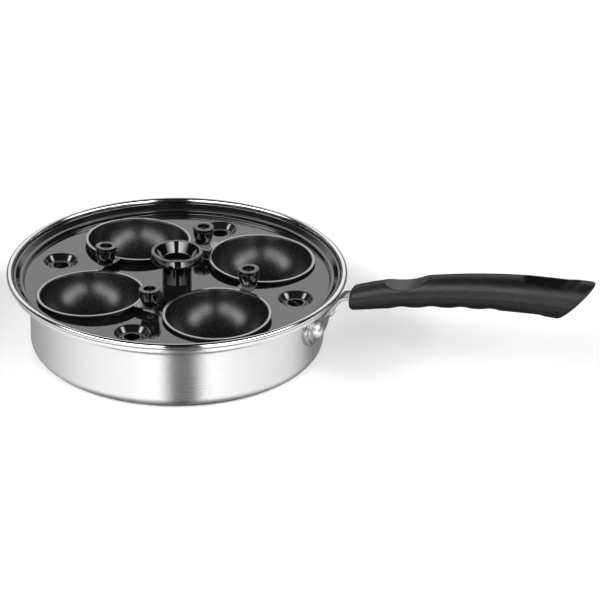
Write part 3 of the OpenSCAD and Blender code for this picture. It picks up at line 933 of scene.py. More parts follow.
@dataclass(frozen=True)
class Grip:
    """The long moulded handle, with its thumb rest, finger grooves, parting ridge and hanging slot."""

    near_x: float = 0.1163
    length: float = 0.1462
    near_z: float = 0.0474
    rise: float = 0.0167
    arch: float = 1.385
    half_w: Point = (0.0096, 0.0128)
    width_curve: float = 1.6
    half_h: Point = (0.0073, 0.0131)
    height_curve: float = 0.53
    slant: float = 0.91
    groove_depth: float = 0.0011
    groove_first: float = 0.2257
    groove_pitch: float = 0.1395
    groove_half: float = 0.0605
    grooves: int = 4
    ridge: float = 0.00028
    ridge_width: float = 3.5
    end_round: float = 0.016
    end_share: float = 0.90
    thumb_low: Point = (0.1465, 0.06045)
    thumb_r: float = 0.028
    thumb_edge: float = 0.00018
    cap: Point = (0.0009, 0.0009)
    cap_rows: int = 6
    slot_s: Point = (0.738, 0.886)
    slot_r: Point = (0.0062, 0.0080)
    slot_lean: float = 0.819
    slot_edge: float = 0.0009
    mouth_turns: tuple[float, ...] = (20, 40, 62)
    mouth_flare: Point = (0.0020, 0.0011)
    mouth_top: float = 0.02
    slot_steps: int = 72
    screw_reach: float = 0.0172
    screw_hole_r: float = 0.0034
    screw_sink: float = 0.001
    screw_head_h: float = 0.0025
    hole_steps: int = 48
    stations: int = 240
    around: int = 128
    crowding: float = 0.3
    height_rounds: int = 12
    lean_rounds: int = 4
    wall_rounds: int = 8
    sharp: float = 50

    def mid(self, s: float) -> float:
        """Height of the middle line."""
        return self.near_z + self.rise * ((1 + self.arch) * s - self.arch * s * s)

    def wide(self, s: float) -> float:
        """Half width."""
        near, far = self.half_w
        return near + (far - near) * math.sin(math.pi / 2 * s) ** self.width_curve

    def high(self, s: float) -> float:
        """Half height."""
        near, far = self.half_h
        return near + (far - near) * s**self.height_curve

    def groove(self, s: float) -> float:
        """Depth of the finger grooves.

        Args:
            s: Share of the length, from the pan.

        Returns:
            The depth there.
        """
        deep = 0.0
        for i in range(self.grooves):
            off = (s - self.groove_first - i * self.groove_pitch) / self.groove_half
            if abs(off) < 1:
                deep = max(deep, math.cos(math.pi / 2 * off) ** 2)
        return self.groove_depth * deep

    def end_size(self, s: float) -> float:
        """Share of the full section near the rounded ends."""
        k = min(1.0, s / self.end_round, (1 - s) / self.end_round)
        return self.end_share + (1 - self.end_share) * math.sqrt(max(0.0, 1 - (1 - k) ** 2))

    def thumb_z(self, x: float) -> float:
        """Height of the thumb rest's scooped surface."""
        off = min(abs(x - self.thumb_low[0]), self.thumb_r)
        return self.thumb_low[1] + self.thumb_r - math.sqrt(self.thumb_r**2 - off**2)

    def point(self, s: float, turn: float, size: float) -> tuple[Vector, float]:
        """A point of the surface, and how much it belongs to the thumb rest.

        Args:
            s: Share of the length, from the pan.
            turn: Angle round the section, from the far side over the top.
            size: Share of the section's full size.

        Returns:
            The point, and a share from 0 to 1.
        """
        side = math.degrees(math.asin(math.sin(turn)))
        ridge = self.ridge * math.exp(-((side / self.ridge_width) ** 2))
        up = math.sin(turn) * self.high(s) * size
        if up < 0:
            up -= self.groove(s) * math.sin(turn) * size
        y = math.cos(turn) * (self.wide(s) + ridge) * size
        x = self.near_x + s * self.length + self.slant * s**3 * up
        z = self.mid(s) + up
        if math.sin(turn) <= 0:
            return Vector((x, y, z)), 0.0
        over = z - self.thumb_z(x)
        soft = (over + math.hypot(over, self.thumb_edge) - self.thumb_edge) / 2
        dip = max(0.0, min(1.0, over / self.thumb_edge / 2))
        return Vector((x, y, z - max(0.0, soft))), dip

    def surface_z(self, x: float, y: float, side: int) -> float:
        """Height of the surface above or below a place, closed in on step by step.

        Args:
            x: Distance along the handle.
            y: Distance to the side.
            side: 1 for the top, -1 for the underside.

        Returns:
            The height.
        """
        start_s, flank = 0.8, 0.98
        z = self.mid(start_s) + side * self.half_h[1]
        for _ in range(self.height_rounds):
            s = min(1.0, max(0.0, (x - self.near_x) / self.length))
            for _ in range(self.lean_rounds):
                lean = self.slant * s**3 * (z - self.mid(s))
                s = min(1.0, max(0.0, (x - lean - self.near_x) / self.length))
            share = min(flank, abs(y) / self.wide(s))
            z = self.mid(s) + side * self.high(s) * math.sqrt(1 - share * share)
        return z

    def shell(self) -> bmesh.types.BMesh:
        """The closed outer surface: a grid rolled into a tube, with rounded end faces.

        Returns:
            The shell.
        """
        bm = bmesh.new()
        mark = bm.verts.layers.float.new("thumb_rest")
        rows = self.stations + 2 * self.cap_rows
        bmesh.ops.create_grid(bm, x_segments=rows, y_segments=self.around, size=0.5)
        for v in bm.verts:
            row = round((v.co.x + 0.5) * rows) - self.cap_rows
            base = 2 * math.pi * (v.co.y + 0.5)
            turn = base - self.crowding * math.sin(2 * base)
            s = min(1.0, max(0.0, row / self.stations))
            beyond = max(-row, row - self.stations, 0) / self.cap_rows
            size = self.end_size(s) * (math.cos(math.pi / 2 * beyond) if beyond else 1)
            v.co, v[mark] = self.point(s, turn, max(size, 0.0))
            if beyond:
                bulge = self.cap[0] if row < 0 else self.cap[1]
                v.co.x += math.copysign(bulge * math.sin(math.pi / 2 * beyond), row)
        bmesh.ops.remove_doubles(bm, verts=bm.verts, dist=TINY * 5)
        bmesh.ops.recalc_face_normals(bm, faces=bm.faces)
        return bm

    def slot_point(self, turn: float, grow: float, lift: float, side: int) -> Vector:
        """A point of the slot's wall, a set distance above or below the surface.

        Args:
            turn: Its angle round the slot.
            grow: How far it is outside the slot's wall.
            lift: Its distance from the surface, outwards.
            side: 1 for the top, -1 for the underside.

        Returns:
            The point.
        """
        end = 1 if math.cos(turn) > -TINY else 0
        s, r = self.slot_s[end], self.slot_r[end] + grow
        x = self.near_x + s * self.length + r * math.cos(turn)
        y = r * math.sin(turn)
        z = self.mid(s)
        for _ in range(self.wall_rounds):
            z = self.surface_z(x + self.slot_lean * (z - self.mid(s)), y, side) + side * lift
        return Vector((x + self.slot_lean * (z - self.mid(s)), y, z))

    def slot_cutter(self) -> bmesh.types.BMesh:
        """The solid that the slot and the screw's hole take away, flared at both mouths.

        Returns:
            The cutter.
        """
        steps = [(0.0, -self.slot_edge)]
        for turn in map(math.radians, self.mouth_turns):
            steps.append((self.slot_edge * (1 - math.cos(turn)), -self.slot_edge * (1 - math.sin(turn))))
        flare_w = steps[-1][0] + self.mouth_flare[0]
        steps += [(flare_w, steps[-1][1] + self.mouth_flare[1]), (flare_w, self.mouth_top)]
        rings = [(*step, 1) for step in reversed(steps)] + [(*step, -1) for step in steps]
        bm = bmesh.new()
        around = bm.verts.layers.float.new("around")
        verts = bmesh.ops.create_circle(bm, cap_ends=True, segments=self.slot_steps, radius=1.0)["verts"]
        for v in verts:
            v[around] = math.atan2(v.co.y, v.co.x)
        edges = list(bm.edges)
        for number, ring in enumerate(rings):
            if number:
                drawn = bmesh.ops.extrude_edge_only(bm, edges=edges)["geom"]
                verts = only(bmesh.types.BMVert, drawn)
                edges = [e for e in only(bmesh.types.BMEdge, drawn) if e.is_boundary]
            for v in verts:
                v.co = self.slot_point(v[around], *ring)
        bmesh.ops.edgeloop_fill(bm, edges=edges)
        self.add_screw_hole(bm)
        bmesh.ops.recalc_face_normals(bm, faces=bm.faces)
        if bm.calc_volume(signed=True) < 0:
            bmesh.ops.reverse_faces(bm, faces=bm.faces)
        return bm

    def add_screw_hole(self, bm: bmesh.types.BMesh) -> None:
        """Adds the round hole in the underside that the screw's head stands in.

        Args:
            bm: The cutter's mesh.
        """
        s = self.screw_reach / self.length
        foot = self.mid(s) - self.high(s)
        low = foot - 4 * self.screw_sink
        high = foot + self.screw_sink + self.screw_head_h
        spot = Matrix.Translation((self.near_x + self.screw_reach, 0, (low + high) / 2))
        bmesh.ops.create_cone(
            bm, cap_ends=True, segments=self.hole_steps, radius1=self.screw_hole_r,
            radius2=self.screw_hole_r, depth=high - low, matrix=spot,
        )

    def build(self) -> None:
        """Makes the handle and cuts its slot and its screw hole."""
        finish = GRIP_PLASTIC.material()
        piece = shown("moulded_grip", self.shell(), finish, self.sharp)
        cutter = shown("slot_cutter", self.slot_cutter(), finish, self.sharp)
        cut = piece.modifiers.new("hanging_slot", "BOOLEAN")
        cut.operation = "DIFFERENCE"
        cut.solver = "MANIFOLD"
        cut.object = cutter
        graph = bpy.context.evaluated_depsgraph_get()
        mesh = bpy.data.meshes.new_from_object(piece.evaluated_get(graph))
        piece.modifiers.clear()
        piece.data = mesh
        mesh.name = piece.name
        mesh.set_sharp_from_angle(angle=math.radians(self.sharp))
        bpy.data.objects.remove(cutter)
        place(piece, Body.PAN.value, Slot.GRIP, "handle_grip")


@dataclass(frozen=True)
class Tray:
    """The pressed sheet that carries the cups, with its stepped rim, vents and holes."""

    pan: Pan
    sheet_t: float = 0.0009
    drop: float = 0.006
    floor_r: float = 0.0970
    step_h: float = 0.0029
    riser_r: Point = (0.0988, 0.0992)
    riser_bend: float = 0.0008
    shelf_end_r: float = 0.1014
    shelf_bend: float = 0.0009
    hem_top_r: float = 0.1041
    hem_r: float = 0.1056
    hem_bends: Point = (0.0007, 0.0006)
    hem_drop: float = 0.0006
    hem_gap: float = 0.0003
    vent_ring_r: float = 0.081
    vent_r: float = 0.0113
    vent_margin: float = 0.0014
    vent_bend: float = 0.0022
    vent_slope_w: float = 0.0032
    vent_depth: float = 0.0037
    vent_hole_r: float = 0.0051
    groove_bends: Point = (0.0011, 0.0009)
    collar_r: float = 0.0062
    collar_foot_w: float = 0.0012
    collar_lean: float = 0.0002
    collar_bends: Point = (0.0006, 0.0005)
    collar_h: float = 0.0008
    vent_steps: int = 64
    turn: float = -5.0
    cup_ring_r: float = 0.0609
    cup_hole_steps: int = 128
    screw_r: float = 0.0019
    screw_hole_steps: int = 24
    steps: int = 192

    @property
    def floor_z(self) -> float:
        """Height of the floor's upper face."""
        return self.pan.bead[1] - self.drop

    def spot(self, angle: float, radius: float) -> Vector:
        """A place on the floor, by its angle from the tray's own zero."""
        turn = math.radians(self.turn + angle)
        return Vector((radius * math.cos(turn), radius * math.sin(turn), self.floor_z))

    def cup_spot(self, number: int) -> Vector:
        """The middle of a cup's hole, by the cup's number from 1."""
        return self.spot(QUARTER * (number - 0.5), self.cup_ring_r)

    def rim_line(self) -> list[Point]:
        """The stepped rim.

        Returns:
            The points, from the foot of the hem to a flat ring of the floor.
        """
        top = self.pan.bead[1] - self.hem_drop
        shelf = self.floor_z + self.step_h
        foot = self.pan.shoulder_z(self.hem_r) + self.hem_gap
        return rounded([
            (self.hem_r, foot, 0),
            (self.hem_r, top, self.hem_bends[0]),
            (self.hem_top_r, top, self.hem_bends[1]),
            (self.shelf_end_r, shelf, self.shelf_bend),
            (self.riser_r[1], shelf, self.riser_bend),
            (self.riser_r[0], self.floor_z, self.riser_bend),
            (self.floor_r, self.floor_z, 0),
        ])

    def vent_line(self) -> list[Point]:
        """A vent, with heights that count from the floor.

        Returns:
            The points, from the floor down to the groove and up over the collar.
        """
        low = -self.vent_depth
        top = low + self.collar_h
        return rounded([
            (self.vent_r + self.vent_margin, 0.0, 0),
            (self.vent_r, 0.0, self.vent_bend),
            (self.vent_r - self.vent_slope_w, low, self.groove_bends[0]),
            (self.collar_r + self.collar_foot_w, low, self.groove_bends[1]),
            (self.collar_r + self.collar_lean, top, self.collar_bends[0]),
            (self.vent_hole_r, top, self.collar_bends[1]),
            (self.vent_hole_r, low, 0),
        ])

    def add_hole(self, bm: bmesh.types.BMesh, spot: Vector, radius: float, steps: int) -> None:
        """Adds the edge of a round hole in the floor."""
        matrix = Matrix.Translation(spot)
        bmesh.ops.create_circle(bm, cap_ends=False, segments=steps, radius=radius, matrix=matrix)

    def build(self, cup_hole_r: float) -> None:
        """Makes the sheet.

        Args:
            cup_hole_r: Radius of the holes that hold the cups.
        """
        bm = bmesh.new()
        spin(bm, self.rim_line(), self.steps)
        for i in range(CUPS):
            spin(bm, self.vent_line(), self.vent_steps, self.spot(QUARTER * i, self.vent_ring_r))
            self.add_hole(bm, self.cup_spot(i + 1), cup_hole_r, self.cup_hole_steps)
        self.add_hole(bm, UP * self.floor_z, self.screw_r, self.screw_hole_steps)
        level = [
            e for e in bm.edges
            if len(e.link_faces) < 2 and all(abs(v.co.z - self.floor_z) < TINY for v in e.verts)
        ]
        bmesh.ops.triangle_fill(bm, use_beauty=True, use_dissolve=False, edges=level, normal=UP)
        bmesh.ops.recalc_face_normals(bm, faces=bm.faces)
        flat = max(bm.faces, key=lambda f: f.calc_area())
        if flat.normal.z < 0:
            bmesh.ops.reverse_faces(bm, faces=bm.faces)
        bmesh.ops.solidify(bm, geom=[*bm.verts, *bm.edges, *bm.faces], thickness=self.sheet_t)
        bmesh.ops.recalc_face_normals(bm, faces=bm.faces)
        piece = shown("pressed_tray", bm, TRAY_COATING.material(), sharp=45)
        place(piece, Body.TRAY.value, Slot.TRAY, "tray")


@dataclass(frozen=True)
class TrayKnob:
    """The dished knob in the middle of the tray."""

    floor_z: float
    height: float = 0.0206
    hub_r: float = 0.002
    stem_r: float = 0.0097
    stem_edge: float = 0.0002
    neck_h: float = 0.0034
    throat_out: float = 0.0018
    throat_drop: float = 0.0012
    throat_bend: float = 0.0012
    band_r: float = 0.0176
    band_h: float = 0.0052
    band_in: float = 0.0012
    band_half: float = 0.0006
    band_bends: Point = (0.0010, 0.0009)
    top_r: float = 0.0166
    top_bend: float = 0.0006
    mouth_r: float = 0.0144
    mouth_bend: float = 0.0004
    dish_r: float = 0.0107
    dish_depth: float = 0.0068
    dish_bend: float = 0.0008
    steps: int = 128

    def build(self) -> None:
        """Makes the knob."""
        foot = self.floor_z
        top = foot + self.height
        belly = top - self.band_h
        dish = top - self.dish_depth
        corners = [
            (self.hub_r, foot, 0),
            (self.stem_r, foot, self.stem_edge),
            (self.stem_r, belly - self.neck_h, self.throat_bend),
            (self.dish_r + self.throat_out, belly - self.throat_drop, self.throat_bend),
            (self.band_r - self.band_in, belly - self.band_half, self.band_bends[0]),
            (self.band_r, belly + self.band_half, self.band_bends[1]),
            (self.top_r, top, self.top_bend),
            (self.mouth_r, top, self.mouth_bend),
            (self.dish_r, dish, self.dish_bend),
            (self.hub_r, dish, 0),
        ]
        solid = turned([(0.0, foot), *rounded(corners), (0.0, dish)], self.steps)
        piece = shown("dished_tray_knob", solid, KNOB_PLASTIC.material(), sharp=50)
        place(piece, Body.TRAY.value, Slot.KNOB, "tray_knob")


@dataclass(frozen=True)
class CupKnob:
    """The small knob on a cup's tab: its tapered grip, its cap with a ledge and its hollow top."""

    height: float = 0.0115
    hub_r: float = 0.002
    foot_r: float = 0.0046
    foot_edge: float = 0.0002
    taper: tuple[Corner, ...] = (
        (0.0049, 0.0005, 0.0006), (0.0057, 0.0025, 0.003), (0.0063, 0.0046, 0.004), (0.0067, 0.0070, 0.004),
    )
    belly_r: float = 0.0068
    cap_h: float = 0.0021
    cap_edge: float = 0.0001
    ledge_r: float = 0.0071
    ledge_h: float = 0.0002
    ledge_rise: float = 0.0004
    rim_r: Point = (0.00683, 0.00688)
    rim_edge: float = 0.00025
    recess_r: Point = (0.0035, 0.0039)
    recess_edges: Point = (0.0005, 0.0003)
    recess_depth: float = 0.003
    screw_r: Point = (0.0012, 0.0015)
    screw_depth: float = 0.0008
    rounding: int = 4
    steps: int = 64

    def shape(self) -> bmesh.types.BMesh:
        """The knob, standing on the origin.

        Returns:
            The knob.
        """
        top = self.height
        cap = top - self.cap_h
        recess = top - self.recess_depth
        hole = recess - self.screw_depth
        corners = [
            (self.hub_r, 0.0, 0),
            (self.foot_r, 0.0, self.foot_edge),
            *self.taper,
            (self.belly_r, cap - self.ledge_rise, self.foot_edge),
            (self.ledge_r, cap, self.cap_edge),
            (self.ledge_r, cap + self.ledge_h, self.cap_edge),
            (self.rim_r[0], cap + self.ledge_rise, self.cap_edge),
            (self.rim_r[1], top, self.rim_edge),
            (self.recess_r[1], top, self.recess_edges[1]),
            (self.recess_r[0], recess, self.recess_edges[0]),
            (self.screw_r[1], recess, self.foot_edge),
            (self.screw_r[0], hole, 0),
        ]
        return turned([(0.0, 0.0), *rounded(corners, self.rounding), (0.0, hole)], self.steps)


@dataclass(frozen=True)
class Cup:
    """A cup that leans in its hole, with a tab on its lip and a knob on the tab."""

    tray: Tray
    top_knob: CupKnob = CupKnob()
    lip_r: float = 0.0349
    lip_w: float = 0.0024
    lip_flat: float = 0.0017
    lip_fall: float = 0.0016
    lip_under_w: float = 0.0010
    lip_edges: Point = (0.00028, 0.00035)
    lip_steps: int = 4
    mouth_slant: float = 0.25
    mouth_bend: float = 0.0011
    bare_from: float = 0.0003
    bare_drop: float = 0.0004
    depth: float = 0.0255
    foot_r: float = 0.010
    foot_margin: float = 0.0003
    sheet_t: float = 0.001
    rise: float = 0.0031
    tilt: float = 2.2
    bearing: float = 127.0
    reach: float = 0.0435
    tab_w: float = 0.011
    tab_sink: float = 0.0001
    tab_edge: float = 0.0002
    tab_steps: int = 48
    hole_gap: float = 0.0003
    bowl_steps: int = 24
    steps: int = 128

    @property
    def mouth_r(self) -> float:
        """Radius of the bowl's outer sphere at the lip's upper face."""
        return self.lip_r - self.lip_w + self.sheet_t

    @property
    def bowl_z(self) -> float:
        """Height of the middle of the bowl's sphere above the lip."""
        return (self.mouth_r**2 - self.foot_r**2 - self.depth**2) / (2 * self.depth)

    @property
    def bowl_r(self) -> float:
        """Radius of the bowl's outer sphere."""
        return math.hypot(self.mouth_r, self.bowl_z)

    @property
    def hole_r(self) -> float:
        """Radius of the hole in the tray."""
        return math.sqrt(self.bowl_r**2 - (self.bowl_z + self.rise) ** 2) + self.hole_gap

    def at(self, number: int) -> Matrix:
        """Where a cup stands: its lip in the XY plane, its knob along X.

        Args:
            number: The cup's number, from 1.

        Returns:
            The transform that takes it there.
        """
        facing = math.radians(self.tray.turn + QUARTER * (number - 0.5) + self.bearing)
        sphere = UP * self.bowl_z
        lean = Matrix.Rotation(-math.radians(self.tilt), 4, "Y")
        lifted = Matrix.Translation(self.tray.cup_spot(number) + UP * self.rise + sphere)
        return lifted @ Matrix.Rotation(facing, 4, "Z") @ lean @ Matrix.Translation(-sphere)

    def bowl_line(self) -> list[Point]:
        """The section of the bowl and its lip.

        Returns:
            The points, from the axis out and back.
        """
        outer, inner = self.bowl_r, self.bowl_r - self.sheet_t
        centre = (0.0, self.bowl_z)
        floor_z = self.sheet_t - self.depth
        foot = -math.degrees(math.acos(self.foot_r / outer))
        under = -math.degrees(math.asin((self.bowl_z + self.sheet_t) / outer))
        mouth = -math.degrees(math.asin((self.bowl_z + self.lip_fall) / inner))
        in_foot = -math.degrees(math.asin((self.bowl_z - floor_z) / inner))
        mouth_r = inner * math.cos(math.radians(mouth))
        lip = rounded([
            (self.lip_r - self.lip_under_w, -self.sheet_t, 0),
            (self.lip_r, -self.sheet_t, self.lip_edges[0]),
            (self.lip_r, 0.0, self.lip_edges[1]),
            (mouth_r + self.mouth_slant * self.lip_fall, 0.0, self.mouth_bend),
            (mouth_r, -self.lip_fall, 0),
        ], self.lip_steps)
        return [
            (0.0, -self.depth),
            (self.foot_r - self.foot_margin, -self.depth),
            *arc(centre, outer, foot, under, self.bowl_steps),
            *lip,
            *arc(centre, inner, mouth, in_foot, self.bowl_steps)[1:],
            (0.0, floor_z),
        ]

    def add_tab(self, bm: bmesh.types.BMesh) -> None:
        """Adds the tab: half a disc drawn back to the lip.

        Args:
            bm: The bowl's mesh.
        """
        disc = Matrix.Translation((self.reach, 0, -self.sheet_t))
        made = bmesh.ops.create_circle(
            bm, cap_ends=True, segments=self.tab_steps, radius=self.tab_w / 2, matrix=disc
        )["verts"]
        for v in made:
            if v.co.x < self.reach - TINY:
                v.co.x = self.lip_r - self.lip_w / 2
        lifted = bmesh.ops.extrude_face_region(bm, geom=[made[0].link_faces[0]])["geom"]
        top = only(bmesh.types.BMVert, lifted)
        bmesh.ops.translate(bm, vec=UP * (self.sheet_t - self.tab_sink), verts=top)
        faces = {f for v in (*made, *top) for f in v.link_faces}
        bmesh.ops.recalc_face_normals(bm, faces=list(faces))
        rims = {e for f in faces for e in f.edges if abs(e.verts[0].co.z - e.verts[1].co.z) < TINY}
        soften(bm, rims, self.tab_edge)

    def bowl(self) -> bmesh.types.BMesh:
        """A cup with its lip and tab, its lip in the XY plane and marked where it is bare.

        Returns:
            The cup.
        """
        bm = turned(self.bowl_line(), self.steps)
        self.add_tab(bm)
        mark = bm.verts.layers.float.new("lip")
        for v in bm.verts:
            inwards = self.lip_r - math.hypot(v.co.x, v.co.y)
            v[mark] = float(self.bare_from < inwards < self.lip_flat and v.co.z > -self.bare_drop)
        return bm

    def build(self) -> None:
        """Makes the four cups and their knobs."""
        bowl, knob = self.bowl(), self.top_knob.shape()
        bmesh.ops.translate(knob, vec=(self.reach, 0, -self.tab_sink), verts=knob.verts)
        for number in range(1, CUPS + 1):
            for name, shape, finish, slot, node in (
                ("egg_cup", bowl, CUP_COATING, Slot.CUP, "cup"),
                ("tapered_cup_knob", knob, KNOB_PLASTIC, Slot.KNOB, "cup_knob"),
            ):
                bm = shape.copy()
                bmesh.ops.transform(bm, matrix=self.at(number), verts=bm.verts)
                piece = shown(f"{name}_{number}", bm, finish.material(), sharp=50)
                place(piece, f"cup_{number}_body", slot, f"{node}_{number}")
        bowl.free()
        knob.free()


def finish_fasteners() -> None:
    """Gives the screws and the washer, which keep their own shapes, their plated finish."""
    cup_screws = [f"cup_screw_{number}" for number in range(1, CUPS + 1)]
    for name in ("handle_screw", "tray_knob_screw", "tray_knob_washer", *cup_screws):
        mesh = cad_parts[name].data
        mesh.materials.clear()
        mesh.materials.append(SCREW_STEEL.material())
        LOG.info("%s: plated", name)


@dataclass(frozen=True)
class Camera:
    """The photograph's viewpoint."""

    azimuth: float = 15.7
    elevation: float = 25.93
    distance: float = 2.731
    focal: float = 4226.5
    frame_px: float = 600.0
    sensor: float = 36.0
    aim_height: float = 0.0515
    aim_px: Point = (177.05, 271.16)
    roll: float = 0.28
    sight: float = 50.0

    @property
    def aim(self) -> Vector:
        """The rim's middle."""
        return Vector((0, 0, self.aim_height))

    def back(self) -> Vector:
        """The direction from the rim's middle to the camera."""
        a, e = math.radians(self.azimuth), math.radians(self.elevation)
        return Vector((math.sin(a) * math.cos(e), -math.cos(a) * math.cos(e), math.sin(e)))

    def build(self) -> None:
        """Makes the camera, turned so that the rim's middle falls on its place in the frame."""
        back = self.back()
        a = math.radians(self.azimuth)
        right = Vector((math.cos(a), math.sin(a), 0))
        world_to_view = Matrix((right, back.cross(right), back))
        middle = self.frame_px / 2
        seen = Vector((self.aim_px[0] - middle, middle - self.aim_px[1], -self.focal))
        swing = (-UP).rotation_difference(seen).to_matrix()
        roll = Matrix.Rotation(math.radians(self.roll), 3, "Z")
        turn = (swing @ roll @ world_to_view).transposed()
        data = bpy.data.cameras.new("camera")
        data.sensor_width = self.sensor
        data.lens = self.focal * self.sensor / self.frame_px
        data.clip_end = self.sight
        camera = bpy.data.objects.new("camera", data)
        camera.matrix_world = Matrix.Translation(self.aim + back * self.distance) @ turn.to_4x4()
        bpy.context.scene.collection.objects.link(camera)
        bpy.context.scene.camera = camera


@dataclass(frozen=True)
class Studio:
    """A pale floor, soft lamps either side of the camera, and what shiny surfaces see round them.

    Each window of the surroundings is a brightness by azimuth, in degrees to the right of the camera,
    times a share by elevation, in degrees above the floor.
    """

    camera: Camera
    lamp_distance: float = 2.3
    wide_azimuth: float = 47.0
    wide_elevation: float = 42.0
    wide_size: Point = (1.9, 1.7)
    wide_level: float = 0.8
    share: float = 0.8
    dark: float = 0.015
    low: Profile = (
        (-180, 0.30), (-130, 0.55), (-103, 0.90), (-85, 1.10), (-69, 1.25), (-54, 1.32), (-34, 1.35),
        (-10, 1.35), (-7, 0.18), (15, 0.15), (17, 0.6), (20, 1.25), (28, 1.3), (41, 1.3), (70, 1.2),
        (104, 1.0), (120, 0.50), (130, 0.25), (180, 0.30),
    )
    low_rise: Profile = (
        (-90, 0.15), (-60, 0.25), (-50, 0.75), (-42, 1.0), (-6, 1.0), (0, 0.0), (90, 0.0),
    )
    front: Profile = (
        (-95, 0.0), (-75, 0.8), (-60, 2.0), (-45, 3.5), (-25, 6.5), (-12, 9.0), (-9, 0.0), (16, 0.0),
        (19, 9.0), (30, 6.5), (45, 3.5), (60, 2.0), (75, 0.8), (95, 0.0),
    )
    front_rise: Profile = ((27.5, 0.0), (29.5, 1.0), (42, 1.0), (48, 0.0))
    edge: Profile = (
        (-50, 0.0), (-30, 2.0), (-13, 9.0), (-9, 0.0), (16, 0.0), (19, 9.0), (35, 2.0), (55, 0.0),
    )
    edge_rise: Profile = ((-9, 0.0), (-4, 1.0), (5, 1.0), (9, 0.0))
    upper: Profile = (
        (-96, 0.0), (-87, 9.0), (-72, 10.0), (-58, 7.0), (-40, 3.0), (-20, 1.2), (-9, 0.0), (9, 0.0),
        (20, 1.2), (40, 3.0), (58, 7.0), (72, 10.0), (87, 9.0), (96, 0.0),
    )
    upper_rise: Profile = ((31, 0.0), (36, 1.0), (44, 1.0), (50, 0.0))
    behind: Profile = (
        (-180, 1.15), (-140, 1.0), (-120, 0.1), (-95, 0.0), (95, 0.0), (120, 0.1), (140, 1.0), (180, 1.15),
    )
    behind_rise: Profile = ((10, 0.0), (18, 1.0), (40, 1.0), (52, 0.0))
    floor_size: float = 12.0
    floor_greys: Point = (0.89, 0.90)
    floor_clouds: float = 3.0
    floor_rough: float = 0.8
    floor_glow: float = 0.17

    def lamp(self, name: str, azimuth: float) -> None:
        """Adds a soft lamp that looks at the pan and that shiny surfaces don't show.

        Args:
            name: Its name.
            azimuth: Degrees to the right of the camera.
        """
        data = bpy.data.lights.new(name, "AREA")
        data.shape = "RECTANGLE"
        data.size, data.size_y = self.wide_size
        data.energy = self.wide_level * math.pi * data.size * data.size_y
        a = math.radians(self.camera.azimuth + azimuth)
        e = math.radians(self.wide_elevation)
        out = Vector((math.sin(a) * math.cos(e), -math.cos(a) * math.cos(e), math.sin(e)))
        lamp = bpy.data.objects.new(name, data)
        turn = (-out).to_track_quat("-Z", "Y").to_matrix().to_4x4()
        lamp.matrix_world = Matrix.Translation(self.camera.aim + out * self.lamp_distance) @ turn
        lamp.visible_glossy = False
        bpy.context.scene.collection.objects.link(lamp)

    @staticmethod
    def level(nodes: Nodes, value: object, profile: Profile, half: float) -> bpy.types.NodeSocket:
        """A brightness read off a profile.

        Args:
            nodes: The tree that gets the nodes.
            value: The angle, in degrees.
            profile: Angles with their brightness, in rising order.
            half: The largest angle that there is.

        Returns:
            The brightness.
        """
        peak = max(level for _, level in profile)
        ramp = nodes.add("ValToRGB", {0: nodes.math("MULTIPLY_ADD", value, 0.5 / half, 0.5)})
        ramp.color_ramp.interpolation = "LINEAR"
        stops = ramp.color_ramp.elements
        while len(stops) > 1:
            stops.remove(stops[0])
        for number, (angle, level) in enumerate(profile):
            position = 0.5 + 0.5 * angle / half
            stop = stops.new(position) if number else stops[0]
            stop.position = position
            stop.color = grey(level / peak)
        return nodes.math("MULTIPLY", ramp.outputs[0], peak)

    def sky(self) -> None:
        """White for the camera, and for everything else a dark studio with windows, which light the pan."""
        world = bpy.data.worlds.new("studio")
        bpy.context.scene.world = world
        nodes = Nodes.emptied(world)
        xyz = nodes.split(nodes.add("TexCoord").outputs["Generated"])
        heading = nodes.math("ARCTAN2", xyz[1], xyz[0])
        from_camera = nodes.math("SUBTRACT", heading, math.radians(self.camera.azimuth - 90))
        azimuth = nodes.math("DEGREES", nodes.math("WRAP", from_camera, math.pi, -math.pi))
        elevation = nodes.math("DEGREES", nodes.math("ARCSINE", xyz[2]))
        total = self.dark
        for across, up in (
            (self.low, self.low_rise), (self.front, self.front_rise), (self.edge, self.edge_rise),
            (self.upper, self.upper_rise), (self.behind, self.behind_rise),
        ):
            lit = self.level(nodes, azimuth, across, 180)
            window = nodes.math("MULTIPLY", lit, self.level(nodes, elevation, up, 90))
            total = nodes.math("ADD", window, total)
        seen = nodes.add("LightPath").outputs["Is Camera Ray"]
        level = nodes.between(seen, nodes.math("MULTIPLY", total, self.share), 1.0)
        background = nodes.add("Background", {"Color": grey(1.0), "Strength": level})
        nodes.add("OutputWorld", {"Surface": background.outputs[0]})

    def floor(self) -> None:
        """A pale floor that keeps the pan's shadow and, for the camera, glows a little."""
        material = bpy.data.materials.new("pale_floor")
        nodes = Nodes.emptied(material)
        clouds = nodes.add("TexNoise", {"Vector": nodes.spot(), "Scale": self.floor_clouds}).outputs[0]
        seen = nodes.add("LightPath").outputs["Is Camera Ray"]
        shader = nodes.add("BsdfPrincipled", {
            "Base Color": nodes.blend(clouds, *map(grey, self.floor_greys)),
            "Roughness": self.floor_rough,
            "Specular IOR Level": 0.0,
            "Emission Color": grey(1.0),
            "Emission Strength": nodes.math("MULTIPLY", seen, self.floor_glow),
        })
        nodes.add("OutputMaterial", {"Surface": shader.outputs[0]})
        bm = bmesh.new()
        bmesh.ops.create_grid(bm, x_segments=1, y_segments=1, size=self.floor_size / 2)
        floor = shown("floor", bm, material)
        floor.visible_glossy = False

    def build(self) -> None:
        """Makes the floor, the lamps and the world."""
        self.floor()
        self.lamp("left_softbox", -self.wide_azimuth)
        self.lamp("right_softbox", self.wide_azimuth)
        self.sky()
        bpy.context.scene.view_settings.view_transform = "Standard"


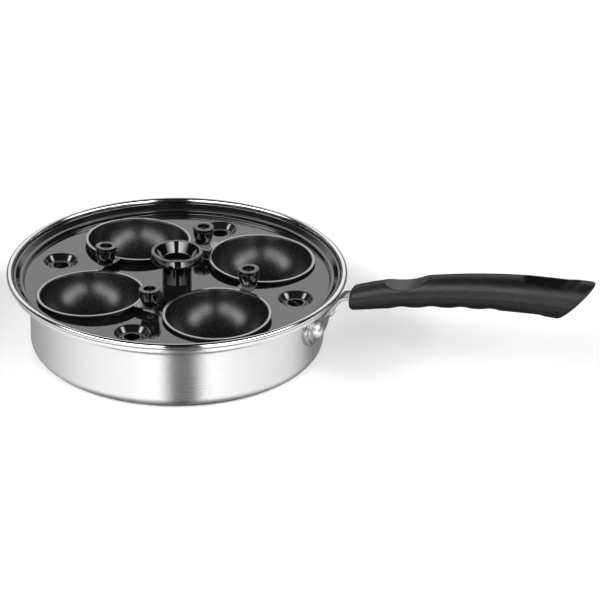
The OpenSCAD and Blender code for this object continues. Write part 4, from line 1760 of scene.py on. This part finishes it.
def main() -> None:
    """Builds the pan from the wall inwards, then its surroundings."""
    logging.basicConfig(level=logging.INFO, format="%(name)s: %(message)s")
    pan = Pan()
    tray = Tray(pan)
    cup = Cup(tray)
    pan.build()
    Bracket(pan).build()
    Grip().build()
    tray.build(cup.hole_r)
    TrayKnob(tray.floor_z).build()
    cup.build()
    finish_fasteners()
    camera = Camera()
    camera.build()
    Studio(camera).build()


if __name__ == "__main__":
    main()
